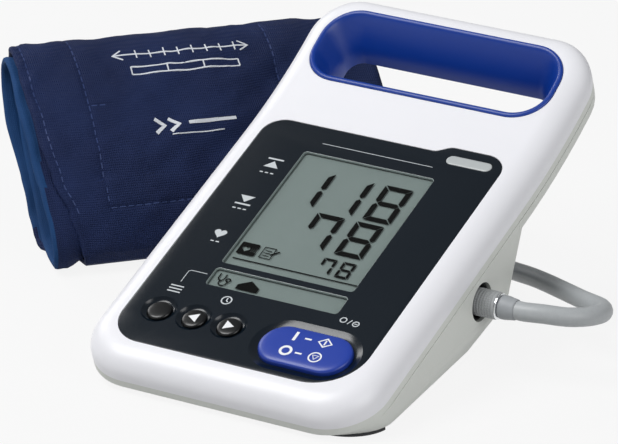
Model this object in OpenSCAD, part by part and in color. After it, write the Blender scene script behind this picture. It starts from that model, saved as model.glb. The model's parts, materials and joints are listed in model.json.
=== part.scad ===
// Professional blood pressure monitor with its rolled arm cuff and air hose, in millimetres.
// X is to the right of the display, Y towards the back, Z up, and the origin lies on the table
// under the middle of the case. Places on the sloped face are (across, up the slope, depth below it).

/* [Case] */
// Width of the case
body_w = 125; // [118:1:135]
// Length of the sloped face, from its front edge to the end of the handle
face_l = 213; // [205:1:225]
// Slope of the face, in degrees
slope = 22; // [19:1:25]
// Height of the face's front edge above the table
front_h = 14.5; // [14:0.5:18]
// Depth of the front cover below the face
cover_d = 14; // [12.5:0.5:15]
// Wall of both covers
wall = 2.4; // [1.8:0.1:3]
// Radius of the corners at the front
front_r = 22; // [16:1:28]
// Radius of the corners at the handle
handle_r = 20; // [14:1:26]
// Drop of the rounded rim from the face to its outer edge
rim_drop = 4.4; // [3:0.1:5.5]
// Width of the rounded rim
rim_w = 10; // [7:0.5:12]
// Place up the face where it starts to curve up towards the handle
curl_v = 136; // [125:1:145]
// Radius of that curve
curl_r = 265; // [220:5:400]

/* [Rear body] */
// Place up the face where the rear wall meets the handle
rear_v = 138; // [126:1:142]
// Lean of the rear wall from the vertical, in degrees
rear_lean = 22; // [16:1:28]
// Half width of the base at the front
base_w1 = 62; // [54:0.5:62]
// Half width of the base at the rear
base_w2 = 53.5; // [44:0.5:55]
// Height of the feet under the base
foot_h = 1.2; // [0.8:0.1:2]
// Height of the bevel's edge at the rear corner
bevel_h = 16.5; // [12:0.5:20]

/* [Handle] */
// Height of the handle opening along the face
hole_h = 36; // [32:0.5:40]
// Width of the margin round the handle opening
hole_m = 9; // [8:0.5:12]
// How much the opening narrows on each side towards the back
hole_taper = 6.5; // [4:0.5:8]
// Radius of the opening's corners
hole_r = 15; // [13:0.5:17]

/* [Display panel] */
// Half width of the dark panel
panel_w = 51.8; // [50:0.1:52.5]
// Front edge of the panel up the face
panel_v1 = 11.6; // [11:0.1:14]
// Back edge of the panel up the face
panel_v2 = 143.4; // [138:0.1:146]
// Rise of the panel's edge behind the lamp
panel_bump = 3.8; // [2:0.1:5]
// Thickness of the panel
panel_t = 2; // [1.6:0.1:2.4]
// Half width of the display windows
lcd_w = 28.8; // [26:0.1:30]
// Front edge of the main window
lcd_v1 = 61; // [60.5:0.1:64]
// Back edge of the main window
lcd_v2 = 128.8; // [120:0.1:131]
// Front and back edges of the lower strip window
strip_v = [48.2, 58.2];
// Place of the pulse lamp
lamp_at = [37.4, 140.6];
// Width and height of the pulse lamp
lamp_size = [19.4, 4.8];

/* [Keys] */
// Place of the middle round key
key_at = [-23.3, 30.2];
// Spacing of the round keys
key_pitch = 15.2; // [15:0.1:16]
// Diameter of a round key
key_d = 9.6; // [8:0.1:10]
// Width of the dished ring round a key
key_dish = 2.4; // [1.6:0.1:2.4]
// Place of the start and stop key
start_at = [26.6, 27.2];
// Width and height of the start and stop key
start_size = [38, 19.6];
// Width of the dished ring round the start and stop key
start_dish = 3.6; // [3:0.1:3.8]
// Travel of every key
key_travel = 1; // [0.6:0.1:1.2]
// Gap round a moving key
key_gap = 0.3; // [0.2:0.05:0.5]

/* [Air socket and plug] */
// Place of the socket on the side: up the face and depth below it
socket_at = [94.2, 24.4];
// Diameter of the hole in the side
socket_d = 15.4; // [14:0.1:16]
// Diameter of the plug's collar
collar_d = 12.2; // [10:0.1:13]
// Diameter of the plug's sleeve
sleeve_d = 9.8; // [9:0.1:10.5]
// Distance from the side to the end of the sleeve
plug_out = 14.5; // [13:0.5:18]

/* [Hose] */
// Outer diameter of the hose
hose_d = 7.4; // [6.5:0.1:8]
// Diameter of the coil at the middle of its turns
coil_mid_d = 82; // [74:1:88]
// Turns of the coil, half of them in each layer
coil_turns = 2.5;
// Gap between neighbouring turns
coil_gap = 0.6; // [0.5:0.1:1]

/* [Cuff] */
// Width of the cuff, which is the length of its roll
cuff_w = 151; // [140:1:175]
// Direction of the roll from the X axis, in degrees
cuff_dir = 50; // [44:1:54]
// Corner of the roll on the table
cuff_at = [-124, 28];
// Longest radius of the roll's flattened section
cuff_a = 50.5; // [46:1:56]
// Shortest radius of the roll's flattened section
cuff_b = 19; // [17:0.5:21]
// Lean of the section from the table, in degrees
cuff_lean = 46; // [42:1:50]
// Thickness of one layer of the cuff
layer_t = 3.6; // [3:0.1:4]
// Gap between layers
layer_gap = 0.9; // [0.7:0.1:1.5]
// Number of turns in the roll
cuff_turns = 2.6;

/* [Hidden] */

white = [0.93, 0.94, 0.96];
shell_grey = [0.85, 0.87, 0.86];
grip_blue = [0.04, 0.15, 0.55];
panel_black = [0.1, 0.12, 0.15];
key_blue = [0.2, 0.32, 0.72];
hose_grey = [0.68, 0.69, 0.7];
navy = [0.13, 0.17, 0.32];

half_w = body_w / 2;
gap = 0.15;
base_y = 60;
eps = 0.01;

function lift_at(v) = v > curl_v ? pow(v - curl_v, 2) / (2 * curl_r) : 0;
function arc(c, r, a0, a1, n) = [for (i = [0:n]) c + r * [cos(a0 + (a1 - a0) * i / n), sin(a0 + (a1 - a0) * i / n)]];

// Right half of a rounded outline, from its front to its back
function half_outline(w, v1, v2, r1, r2, mids) = concat(
    arc([w - r1, v1 + r1], r1, -90, 0, 8),
    [for (v = mids) [w, v]],
    arc([w - r2, v2 - r2], r2, 0, 90, 8));
function mirrored(half) = concat(half, [for (i = [len(half) - 1:-1:0]) [-half[i][0], half[i][1]]]);

// Whole outline at a depth below the curved face
function ring(half, d) = let (n = len(half)) concat(
    [for (p = half) [p[0], p[1], lift_at(p[1]) - d]],
    [for (i = [0:n - 1]) let (p = half[n - 1 - i]) [-p[0], p[1], lift_at(p[1]) - d]]);

function quads(m, n, wrap) = [for (j = [0:m - 1]) for (i = [0:n - 1])
    let (a = j * n + i, b = j * n + (i + 1) % n, up = ((j + 1) % wrap) * n)
    each [[b, a, up + i], [b, up + i, up + (i + 1) % n]]];

// Closed body through rings from the back to the front, with both ends closed by strips
module skin(rings) {
    n = len(rings[0]);
    m = len(rings);
    top = (m - 1) * n;
    polyhedron(points = [for (r = rings) each r], faces = concat(
        quads(m - 1, n, m),
        [for (i = [0:n / 2 - 2]) each [[i, i + 1, n - 2 - i], [i, n - 2 - i, n - 1 - i]]],
        [for (i = [0:n / 2 - 2]) let (a = top + i, b = top + n - 1 - i)
            each [[a, b, b - 1], [a, b - 1, a + 1]]]));
}

// Endless hoop through rings
module hoop(rings) {
    polyhedron(points = [for (r = rings) each r], faces = quads(len(rings), len(rings[0]), len(rings)));
}

module on_face() { translate([0, -base_y, front_h]) rotate([slope, 0, 0]) children(); }

// Stations up the sides, closer together where the handle curves
curl_mids = [for (i = [0:5]) rear_v - 9 + (face_l - handle_r - rear_v + 9) * i / 6];
side_mids = concat([for (i = [1:2]) front_r + (rear_v - 9 - front_r) * i / 3], curl_mids);
function case_half(s) = half_outline(half_w - s, s, face_l - s, front_r - s, handle_r - s, side_mids);
back_half = concat([for (v = curl_mids) [half_w, v]], arc([half_w - handle_r, face_l - handle_r], handle_r, 0, 90, 8));

function rim_depth(s) = rim_drop * pow(1 - s / rim_w, 2);

// The handle opening, drawn in by s from its lip
hole_v2 = face_l - hole_m;
function hole_half(s) = half_outline(half_w - hole_m - s, hole_v2 - hole_h + s, hole_v2 - s,
    hole_r - s, hole_r - s, [hole_v2 - hole_h / 2]);

module hole_cut(s) {
    skin([ring(hole_half(hole_taper + s), cover_d + 4), ring(hole_half(hole_taper + s), cover_d),
        ring(hole_half(s), 0), ring(hole_half(s), -8)]);
}

function panel_outline(g) = concat(
    arc([-panel_w + 14, panel_v1 + 14], 14 + g, 180, 270, 8),
    arc([panel_w - 20, panel_v1 + 20], 20 + g, 270, 360, 10),
    arc([panel_w - 9, panel_v2 + panel_bump - 9], 9 + g, 0, 90, 8),
    [for (i = [0:8]) [28 - i - g / 4, panel_v2 + g + panel_bump * (1 + cos(i * 22.5)) / 2]],
    arc([-panel_w + 9, panel_v2 - 9], 9 + g, 90, 180, 8));

module rounded(size, r) {
    square([size[0] - 2 * r, size[1]], center = true);
    square([size[0], size[1] - 2 * r], center = true);
    for (x = [-1, 1], y = [-1, 1])
        translate([x * (size[0] / 2 - r), y * (size[1] / 2 - r)]) circle(r, $fn = 32);
}

module stadium(size, g) {
    r = size[1] / 2 + g;
    square([size[0] - size[1], 2 * r], center = true);
    for (x = [-1, 1]) translate([x * (size[0] - size[1]) / 2, 0]) circle(r, $fn = 48);
}

// Stadium that narrows downwards from the face
module stadium_dish(size, g, depth) {
    r = size[1] / 2;
    for (x = [-1, 1]) translate([x * (size[0] - size[1]) / 2, 0, -depth])
        cylinder(r1 = r, r2 = r + g, h = depth + eps, $fn = 48);
    rotate([90, 0, 90]) translate([0, 0, -(size[0] - size[1]) / 2]) linear_extrude(size[0] - size[1])
        polygon([[-r, -depth], [r, -depth], [r + g, eps], [-r - g, eps]]);
}

// Slab of a flat shape between two depths below the face
module slab(d1, d2) { translate([0, 0, -d2]) linear_extrude(d2 - d1) children(); }

lcd_mid = (lcd_v1 + lcd_v2) / 2;
strip_mid = (strip_v[0] + strip_v[1]) / 2;
window_t = 1;
module window_shape(g) {
    translate([0, lcd_mid]) rounded([2 * lcd_w + 2 * g, lcd_v2 - lcd_v1 + 2 * g], 1.5 + g);
    translate([0, strip_mid]) rounded([2 * lcd_w + 2 * g, strip_v[1] - strip_v[0] + 2 * g], 1 + g);
}

key_x = [key_at[0] - key_pitch, key_at[0], key_at[0] + key_pitch];
flange_w = 1.4;
board_d = 9.6;
board_t = 1.6;
board_size = [106, 128];
board_mid = [0, 78];
post_at = [for (x = [-1, 1], y = [-1, 1])
    board_mid + [x * (board_size[0] / 2 - 4), y * (board_size[1] / 2 - 5)]];
post_r = 2.6;
frame_size = [2 * lcd_w + 9, lcd_v2 - strip_v[0] + 9];
module at_key(i) { translate([key_x[i], key_at[1], 0]) children(); }
module at_start() { translate([start_at[0], start_at[1], 0]) children(); }

module front_cover() {
    color(white) on_face() difference() {
        union() {
            difference() {
                skin([ring(case_half(0), cover_d), ring(case_half(0), rim_drop + 0.5),
                    ring(case_half(0.4), rim_depth(0.4)), ring(case_half(2), rim_depth(2)),
                    ring(case_half(4), rim_depth(4)), ring(case_half(6.5), rim_depth(6.5)),
                    ring(case_half(rim_w), 0)]);
                skin([ring(case_half(wall), cover_d + 1), ring(case_half(wall), rim_drop + wall + 0.5),
                    ring(case_half(wall + 4), 2.8 + wall / 2), ring(case_half(rim_w + 1), 0.8 + wall)]);
            }
            for (p = post_at) translate([p[0], p[1], -board_d]) cylinder(r = post_r, h = board_d - panel_t - 0.6, $fn = 32);
        }
        slab(-1, panel_t) polygon(panel_outline(gap));
        // Openings in the floor under the panel, for the display, the keys and the lamp
        slab(-1, cover_d) {
            translate([0, (strip_v[0] + lcd_v2) / 2]) square(frame_size + [0.6, 0.6], center = true);
            for (x = key_x) translate([x, key_at[1]]) circle(d = key_d + 2 * flange_w + 2 * key_gap, $fn = 48);
            translate(start_at) stadium(start_size, flange_w + key_gap);
            translate(lamp_at) stadium(lamp_size, 2 * gap);
        }
        for (p = post_at) translate([p[0], p[1], -board_d - 1]) cylinder(d = 3.04, h = 5.5, $fn = 32);
        hole_cut(-gap);
    }
}

// Step of the rear body inside the edge of the front cover
rear_in = 0.1;
seam_gap = 0.1;
// Plan of the base, tapering towards the rear
base_y1 = -50.5;
rear_top = rear_v * cos(slope) + cover_d * sin(slope) - base_y;
rear_top_z = front_h + rear_v * sin(slope) - cover_d * cos(slope);
function rear_y(z) = rear_top - (rear_top_z - z) * tan(rear_lean);

module puck(x, y, r, z, edge) {
    translate([x, y, z]) rotate_extrude($fn = 32)
        union() {
            square([r - edge, edge * 2]);
            translate([r - edge, edge]) circle(edge, $fn = 16);
        }
}

// Solid form of the rear body, drawn in by s
module rear_form(s) {
    edge = 2.2 - s / 2;
    hull() {
        on_face() translate([0, 0, -cover_d - 0.6 + s / 3]) linear_extrude(0.55)
            polygon(mirrored(half_outline(half_w - rear_in - s, 1 + s, rear_v - s, front_r - s, 5, [])));
        for (x = [-1, 1]) {
            translate([x * (half_w - rear_in - s - 2), rear_y(bevel_h + 4) - 3 - s, bevel_h + 4]) sphere(2, $fn = 16);
            translate([x * (half_w - rear_in - s - 2), 8, 12.5 + s / 2]) sphere(2, $fn = 16);
            puck(x * (base_w1 - 19), base_y1 + 19, 19 - s, foot_h + s, edge);
            puck(x * (base_w2 - 8), rear_y(foot_h) - 9, 8 - s, foot_h + s, edge);
        }
    }
}

socket_y = socket_at[0] * cos(slope) + socket_at[1] * sin(slope) - base_y;
socket_z = front_h + socket_at[0] * sin(slope) - socket_at[1] * cos(slope);
module at_socket() { translate([half_w, socket_y, socket_z]) rotate([0, 90, 0]) children(); }

back_t = 3.6;
cover_y1 = 7;
cover_w = 62;
cover_t = 2;
cover_y2 = rear_y(foot_h) - 1;
tongue = 1.2;
bay_y2 = 34;
bay_h = 15;
bay_z = foot_h + 1;
jack_y = 16;
jack_z = 21;
boss_at = [[-47, -34], [47, -34], [-47, 34], [47, 34]];
screw_z = foot_h + 1;

module rear_cover() {
    color(shell_grey) difference() {
        union() {
            difference() {
                rear_form(0);
                rear_form(wall);
            }
            on_face() skin([ring(back_half, cover_d + back_t), ring(back_half, cover_d)]);
            // Walls of the battery bay, and the thicker floor behind it
            translate([-cover_w / 2 - 3, cover_y1 - 2, bay_z]) cube([cover_w + 6, bay_y2 - cover_y1 + 4, bay_h]);
            translate([-cover_w / 2 - 3, bay_y2, bay_z]) cube([cover_w + 6, 12, 3.4]);
            for (p = boss_at) translate([p[0], p[1], 2]) cylinder(d = 8, h = p[1] < 0 ? 6 : 15, $fn = 32);
        }
        on_face() {
            hole_cut(-gap);
            // Nothing of this cover rises over the seam
            skin([ring(case_half(-1), cover_d + seam_gap), ring(case_half(-1), -5)]);
        }
        // Battery bay, open at the bottom, and the track that its cover slides in
        translate([-cover_w / 2 + 3, cover_y1 + 4, -1]) cube([cover_w - 6, bay_y2 - cover_y1 - 4, bay_h]);
        translate([-cover_w / 2 - gap, cover_y1 - gap, -1]) cube([cover_w + 2 * gap, 90, 1 + foot_h + cover_t + gap]);
        translate([-cover_w / 2 - tongue - gap, cover_y1 - gap, foot_h + 0.7])
            cube([cover_w + 2 * tongue + 2 * gap, 90, 1.3]);
        at_socket() translate([0, 0, -8]) cylinder(d = socket_d, h = 16, $fn = 64);
        translate([-half_w - 1, jack_y, jack_z]) rotate([0, 90, 0]) cylinder(d = 9, h = 8, $fn = 48);
        for (p = boss_at) translate([p[0], p[1], -1]) cylinder(d = 5.4, h = 1 + screw_z + 2, $fn = 32);
    }
}

module handle_liner() {
    back = cover_d + back_t + 0.6;
    lip = [[0, 0], [0.2, -0.5], [1, -0.9], [1.9, -0.6], [2.7, 0.5], [4, 3.2],
        [hole_taper + 1.8, cover_d], [hole_taper + 1.8, back], [hole_taper, back], [hole_taper, cover_d]];
    color(grip_blue) on_face() hoop([for (i = [len(lip) - 1:-1:0]) ring(hole_half(lip[i][0]), lip[i][1])]);
}

module display_panel() {
    color(panel_black) on_face() difference() {
        slab(0, panel_t) polygon(panel_outline(0));
        slab(-1, panel_t + 1) window_shape(0);
        // Wells of the keys
        for (i = [0:2]) at_key(i) {
            translate([0, 0, -1.4]) cylinder(d1 = key_d + 2 * key_gap, d2 = key_d + 2 * key_dish + 0.4, h = 1.5, $fn = 48);
            slab(-1, panel_t + 1) circle(d = key_d + 2 * key_gap, $fn = 48);
        }
        at_start() {
            stadium_dish(start_size, start_dish, 1.2);
            slab(-1, panel_t + 1) stadium(start_size, key_gap);
        }
        translate([lamp_at[0], lamp_at[1], 0]) slab(-1, panel_t + 1) stadium(lamp_size, gap);
    }
}

module display_window() {
    color([0.8, 0.85, 0.85, 0.4]) on_face() slab(panel_t, panel_t + window_t)
        translate([0, (strip_v[0] + lcd_v2) / 2]) square([2 * lcd_w + 4, lcd_v2 - strip_v[0] + 4], center = true);
}

glass_t = 2.8;
frame_d = panel_t + window_t + glass_t;
module lcd_glass() {
    color([0.55, 0.6, 0.58]) on_face() slab(panel_t + window_t, frame_d)
        translate([0, (strip_v[0] + lcd_v2) / 2]) square([2 * lcd_w + 2, lcd_v2 - strip_v[0] + 2], center = true);
}

module lcd_frame() {
    color("white") on_face() difference() {
        slab(panel_t, board_d) translate([0, (strip_v[0] + lcd_v2) / 2]) square(frame_size, center = true);
        slab(panel_t - 1, frame_d) translate([0, (strip_v[0] + lcd_v2) / 2])
            square([2 * lcd_w + 4 + 2 * gap, lcd_v2 - strip_v[0] + 4 + 2 * gap], center = true);
        slab(frame_d + 1, board_d + 1) translate([0, (strip_v[0] + lcd_v2) / 2])
            square([2 * lcd_w, lcd_v2 - strip_v[0]], center = true);
    }
}

key_flange = 1.2;
key_rest = 0.2;
// Round key with a domed top, a flange below the panel and a stem
module round_key(i) {
    r = key_d / 2;
    color(panel_black) on_face() at_key(i) rotate_extrude($fn = 48) polygon(concat(
        [[0, -panel_t - key_rest - key_flange - 1.2], [2, -panel_t - key_rest - key_flange - 1.2],
            [2, -panel_t - key_rest - key_flange], [r + flange_w, -panel_t - key_rest - key_flange],
            [r + flange_w, -panel_t - key_rest], [r, -panel_t - key_rest]],
        [for (i = [0:5]) [r - 0.8 + 0.8 * cos(i * 15), -1 + 0.8 * sin(i * 15)]], [[0, 0.1]]));
}
module mode_key() { round_key(0); }
module back_key() { round_key(1); }
module next_key() { round_key(2); }

module start_stop_key() {
    color(key_blue) on_face() at_start() {
        hull() {
            slab(0, panel_t + key_rest + 0.4) stadium(start_size, 0);
            slab(-0.7, 0) stadium(start_size, -0.5);
            slab(-1.1, -0.7) stadium(start_size, -1.3);
            slab(-1.3, -1.1) stadium(start_size, -2.6);
        }
        slab(panel_t + key_rest, panel_t + key_rest + key_flange) stadium(start_size, flange_w);
        for (x = [-9, 9]) translate([x, 0, -panel_t - key_rest - key_flange - 1.2]) cylinder(r = 2, h = 2, $fn = 32);
    }
}

// Rubber sheet under the keys, on the main board
mat_u = [key_x[0] - key_d / 2 - 1, start_at[0] + start_size[0] / 2];
mat_d = panel_t + key_rest + key_flange + 1.2 + key_travel + 0.2;
module key_mat() {
    color([0.5, 0.5, 0.5]) on_face() {
        slab(board_d - 1.2, board_d) translate([(mat_u[0] + mat_u[1]) / 2, key_at[1]])
            square([mat_u[1] - mat_u[0], start_size[1]], center = true);
        for (x = concat([for (k = key_x) [k, key_at[1]]], [for (s = [-9, 9]) start_at + [s, 0]]))
            translate([x[0], x[1], -board_d + 0.6]) cylinder(r1 = 3.6, r2 = 2.4, h = board_d - 0.6 - mat_d, $fn = 32);
    }
}

module pulse_lamp() {
    color([0.85, 0.87, 0.88]) on_face() translate([lamp_at[0], lamp_at[1], 0]) {
        slab(-0.15, panel_t + 0.6) stadium(lamp_size, 0);
        slab(panel_t, board_d) translate([-4, 0]) square([5, 3], center = true);
    }
}

module main_board() {
    color([0.1, 0.35, 0.2]) on_face() difference() {
        slab(board_d, board_d + board_t) translate(board_mid) rounded(board_size, 3);
        for (p = post_at) translate([p[0], p[1], -board_d - 2]) cylinder(d = 3.4, h = 4, $fn = 24);
    }
}
under_d = board_d + board_t;
module under_board(u, v, d) { translate([u, v, -under_d - d]) children(); }

// Screws that hold the board to posts of the front cover
module board_screws() {
    color("silver") on_face() for (p = post_at) {
        under_board(p[0], p[1], 1.6) cylinder(d = 5.6, h = 1.6, $fn = 32);
        under_board(p[0], p[1], 0) cylinder(d = 3, h = board_t + 4, $fn = 32);
    }
}

module pressure_sensor() {
    color([0.2, 0.2, 0.22]) on_face() {
        under_board(22.5, 66.5, 5) cube([11, 11, 5]);
        under_board(28, 72, 9) cylinder(d = 3, h = 4, $fn = 32);
    }
}

module buzzer() {
    color([0.12, 0.12, 0.12]) on_face() under_board(-34, 60, 5) cylinder(d = 12, h = 5, $fn = 32);
}

pump_y = 42;
pump_z = 28;
motor_d = 22;
head_d = 24;
module pump() {
    translate([-8, pump_y, pump_z]) rotate([0, 90, 0]) {
        color("silver") translate([0, 0, -28]) cylinder(d = motor_d, h = 28, $fn = 48);
        color([0.2, 0.2, 0.2]) cylinder(d = head_d, h = 22, $fn = 48);
        color([0.2, 0.2, 0.2]) translate([0, 0, 22]) cylinder(d = 4, h = 6, $fn = 32);
    }
}

// Two ribs on the floor that carry the motor
module pump_cradle() {
    color([0.3, 0.3, 0.32]) difference() {
        for (x = [-33, -14]) translate([x, bay_y2 + 3, bay_z + 3.4]) cube([4, 9, pump_z - 8 - bay_z - 3.4]);
        translate([-40, pump_y, pump_z]) rotate([0, 90, 0]) cylinder(d = motor_d + 0.04, h = 50, $fn = 48);
    }
}

valve_u = board_size[0] / 2 - 23;
module exhaust_valve() {
    color([0.25, 0.27, 0.3]) on_face() {
        under_board(valve_u, 96, 11) cube([12, 12, 11]);
        under_board(valve_u, 102, 5) rotate([0, -90, 0]) cylinder(d = 4, h = 4, $fn = 32);
    }
}

module leak_valve() {
    color([0.85, 0.85, 0.82]) on_face() {
        under_board(valve_u + 10, 84, 8) cylinder(d = 8, h = 8, $fn = 32);
        under_board(valve_u + 10, 84, 12) cylinder(d = 3, h = 4, $fn = 32);
    }
}

function unit(v) = v / norm(v);
// Frames that follow a route without twist: each is [point, side, up]
function frames(p, i = 0, side = undef, out = []) = i >= len(p) ? out :
    let (t = unit(p[min(i + 1, len(p) - 1)] - p[max(i - 1, 0)]),
        s0 = is_undef(side) ? cross(t, [0.1, 0.2, 1]) : side,
        s = unit(s0 - t * (s0 * t)))
    frames(p, i + 1, s, concat(out, [[p[i], s, cross(t, s)]]));

// Smooth route through hand-chosen points, n steps in each span
function route(p, n) = concat([for (i = [0:len(p) - 2]) for (k = [0:n - 1])
    let (a = p[max(i - 1, 0)], b = p[i], c = p[i + 1], d = p[min(i + 2, len(p) - 1)], t = k / n)
    0.5 * (2 * b + (c - a) * t + (2 * a - 5 * b + 4 * c - d) * t * t + (3 * b - a - 3 * c + d) * t * t * t)],
    [p[len(p) - 1]]);

module tube(path, r, sides) {
    f = frames(path);
    n = len(path);
    polyhedron(points = [for (q = f) for (k = [0:sides - 1])
        q[0] + r * (cos(k * 360 / sides) * q[1] + sin(k * 360 / sides) * q[2])],
        faces = concat([[for (k = [0:sides - 1]) k]], [[for (k = [sides - 1:-1:0]) (n - 1) * sides + k]],
            [for (j = [0:n - 2]) for (k = [0:sides - 1]) let (a = j * sides + k, b = j * sides + (k + 1) % sides)
                each [[b, a, a + sides], [b, a + sides, b + sides]]]));
}

module air_lines() {
    color([0.9, 0.9, 0.88]) {
        tube(route([[half_w - 19, socket_y, socket_z], [33, 40, 24.5], [20, pump_y, pump_z]], 4), 3, 8);
    }
}

wall_seat = wall + rear_in + gap;
module air_socket() {
    color(shell_grey) at_socket() difference() {
        union() {
            translate([0, 0, -19]) cylinder(d = socket_d - 1, h = 19 - wall_seat, $fn = 64);
            translate([0, 0, -wall_seat - 2]) cylinder(d = socket_d + 3, h = 2, $fn = 64);
        }
        translate([0, 0, -16]) cylinder(d = 8.04, h = 20, $fn = 48);
        translate([0, 0, -8]) cylinder(d = collar_d + 1.4, h = 8, $fn = 48);
    }
}

module socket_ring() {
    color([0.1, 0.1, 0.1]) at_socket() translate([0, 0, eps - wall_seat]) difference() {
        cylinder(d = socket_d - 0.3, h = 1.2, $fn = 64);
        translate([0, 0, -1]) cylinder(d = collar_d + 1.6, h = 4, $fn = 64);
    }
}

module power_jack() {
    color([0.1, 0.1, 0.1]) translate([-half_w + 1.2, jack_y, jack_z]) rotate([0, 90, 0]) {
        difference() {
            union() {
                cylinder(d = 8.8, h = 3, $fn = 48);
                translate([-5.5, -4.5, 1.6]) cube([11, 9, 11]);
            }
            translate([0, 0, -1]) cylinder(d = 5.5, h = 10, $fn = 48);
        }
        cylinder(d = 2.1, h = 9.5, $fn = 32);
    }
}

module battery_pack() {
    color([0.2, 0.35, 0.3]) translate([-cover_w / 2 + 3.4, cover_y1 + 5, bay_h - 11])
        cube([cover_w - 6.8, bay_y2 - cover_y1 - 5.4, 10]);
}

module battery_contacts() {
    color("gold") for (x = [-12, 0, 12]) translate([x - 2, cover_y1 + 4, bay_h - 9]) cube([4, 1, 6]);
}

// Cover of the battery bay, which slides out to the rear
module battery_cover() {
    color(shell_grey) {
        difference() {
            union() {
                translate([-cover_w / 2, cover_y1, foot_h]) cube([cover_w, cover_y2 - cover_y1, cover_t]);
                translate([-cover_w / 2 - tongue, cover_y1, foot_h + 0.85])
                    cube([cover_w + 2 * tongue, cover_y2 - cover_y1 - 8, 1]);
            }
            for (i = [0:4]) translate([-10, cover_y2 - 20 + i * 3, foot_h - 0.2]) cube([20, 1.2, 0.8]);
        }
    }
}

module front_feet() {
    color([0.15, 0.15, 0.16]) for (x = [-1, 1]) translate([x * (base_w1 - 19), base_y1 + 19, 0])
        linear_extrude(foot_h) intersection() {
            difference() {
                circle(17.6, $fn = 48);
                circle(12.5, $fn = 48);
            }
            translate([x > 0 ? 2 : -22, -20]) square([20, 18]);
        }
}

module rear_feet() {
    color([0.15, 0.15, 0.16]) for (x = [-1, 1]) translate([x * 40, rear_y(0) - 12, 0])
        cylinder(d = 9, h = foot_h, $fn = 32);
}

module middle_foot() {
    color([0.15, 0.15, 0.16]) cylinder(d = 11, h = foot_h, $fn = 48);
}

module case_screws() {
    color("silver") for (p = boss_at) translate([p[0], p[1], screw_z]) cylinder(d = 5, h = 2, $fn = 32);
}

module plug_body() {
    color(hose_grey) at_socket() {
        translate([0, 0, -16]) cylinder(d = 7.96, h = 12, $fn = 48);
        translate([0, 0, -4]) cylinder(d = 7.2, h = plug_out - 3, $fn = 48);
    }
}

collar_z = -3.6;
collar_l = 9.4;
module plug_collar() {
    color([0.75, 0.76, 0.77]) at_socket() translate([0, 0, collar_z]) difference() {
        union() {
            cylinder(d = collar_d, h = collar_l, $fn = 48);
            for (k = [0:23]) rotate(k * 15) translate([collar_d / 2, 0, 1]) cylinder(r = 0.35, h = collar_l - 2, $fn = 6);
        }
        translate([0, 0, -1]) cylinder(d = 7.26, h = collar_l + 2, $fn = 48);
    }
}

module plug_ring() {
    color("silver") at_socket() translate([0, 0, collar_z + collar_l + 0.1]) difference() {
        cylinder(d = collar_d - 0.6, h = 0.9, $fn = 48);
        translate([0, 0, -1]) cylinder(d = 7.2, h = 4, $fn = 48);
    }
}

module plug_sleeve() {
    z0 = collar_z + collar_l + 1;
    color([0.45, 0.46, 0.48]) at_socket() difference() {
        rotate_extrude($fn = 48) polygon([[0, z0], [collar_d / 2 - 0.9, z0], [sleeve_d / 2 + 0.5, z0 + 1],
            [sleeve_d / 2, z0 + 3.5], [hose_d / 2 + 0.9, plug_out - 1], [hose_d / 2 + 0.4, plug_out], [0, plug_out]]);
        translate([0, 0, z0 - 1]) cylinder(d = 7.2, h = plug_out - z0, $fn = 48);
    }
}

// Corner, direction and normal of the roll
cuff_u = [cos(cuff_dir), sin(cuff_dir), 0];
cuff_n = [-sin(cuff_dir), cos(cuff_dir), 0];
cuff_c = [36, cuff_a * sin(cuff_lean) - 1.2];
function on_cuff(a, b, z) = [cuff_at[0], cuff_at[1], z] + a * cuff_u + b * cuff_n;
module at_cuff() { translate([cuff_at[0], cuff_at[1], 0]) rotate([90, 0, cuff_dir + 90]) children(); }

// Coil behind the roll: in along one layer and out again along the next
coil_at = [117, 92];
hose_r = hose_d / 2;
coil_p = hose_d + coil_gap;
coil_n = coil_turns * 24;
function coil_point(i) = let (t = i / 24, h = coil_turns / 2, s = abs(t - h),
    r = coil_mid_d / 2 + (s - h / 2) * coil_p,
    c = min(1, max(0, (t - h + 0.25) * 2)), a = t * 360)
    on_cuff(coil_at[0] + r * cos(a), coil_at[1] + r * sin(a), hose_r + coil_p * (1 - cos(c * 180)) / 2);

echo(coil_gap_to_itself = min([for (i = [0:coil_n - 12], j = [i + 12:coil_n])
    norm(coil_point(i) - coil_point(j))]) - hose_d);
plug_end = [half_w + plug_out + 2 * gap, socket_y, socket_z];
coil_in = coil_point(0);
coil_out = coil_point(coil_n);
hose_points = concat([plug_end, plug_end + [3.5, 0, 0]],
    [[88, 37.9, 27.4], [96, 41.5, 26.7], [101.5, 48.5, 25.7], [102.8, 57.5, 24.3], [98, 66, 22.7], [87.5, 72, 21.4],
    [77, 78.8, 20], [67, 85.2, 18.7], [57, 91.5, 17.2], [46.5, 98.5, 14.8], [36, 106.5, 11.8], [24, 116, 8.5],
    [11, 127, 5.2], [-4, 139.6, 3.8], [-20, 153, 3.7], [-42, 171.5, 3.7], [-64, 190, 3.7]],
    [coil_in - 7.4 * cuff_n, coil_in]);
port_at = [74, 63, 16];
tail_points = [coil_out, coil_out - 7.4 * cuff_n, on_cuff(71.4, 77, 13.4), on_cuff(73.4, 70.4, 15.7),
    on_cuff(port_at[0], port_at[1], port_at[2])];

module hose() { color(hose_grey) tube(route(hose_points, 3), hose_r, 10); }
module hose_coil() { color(hose_grey) tube([for (i = [0:coil_n]) coil_point(i)], hose_r, 6); }
module hose_tail() { color(hose_grey) tube(route(tail_points, 2), hose_r, 10); }

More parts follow.
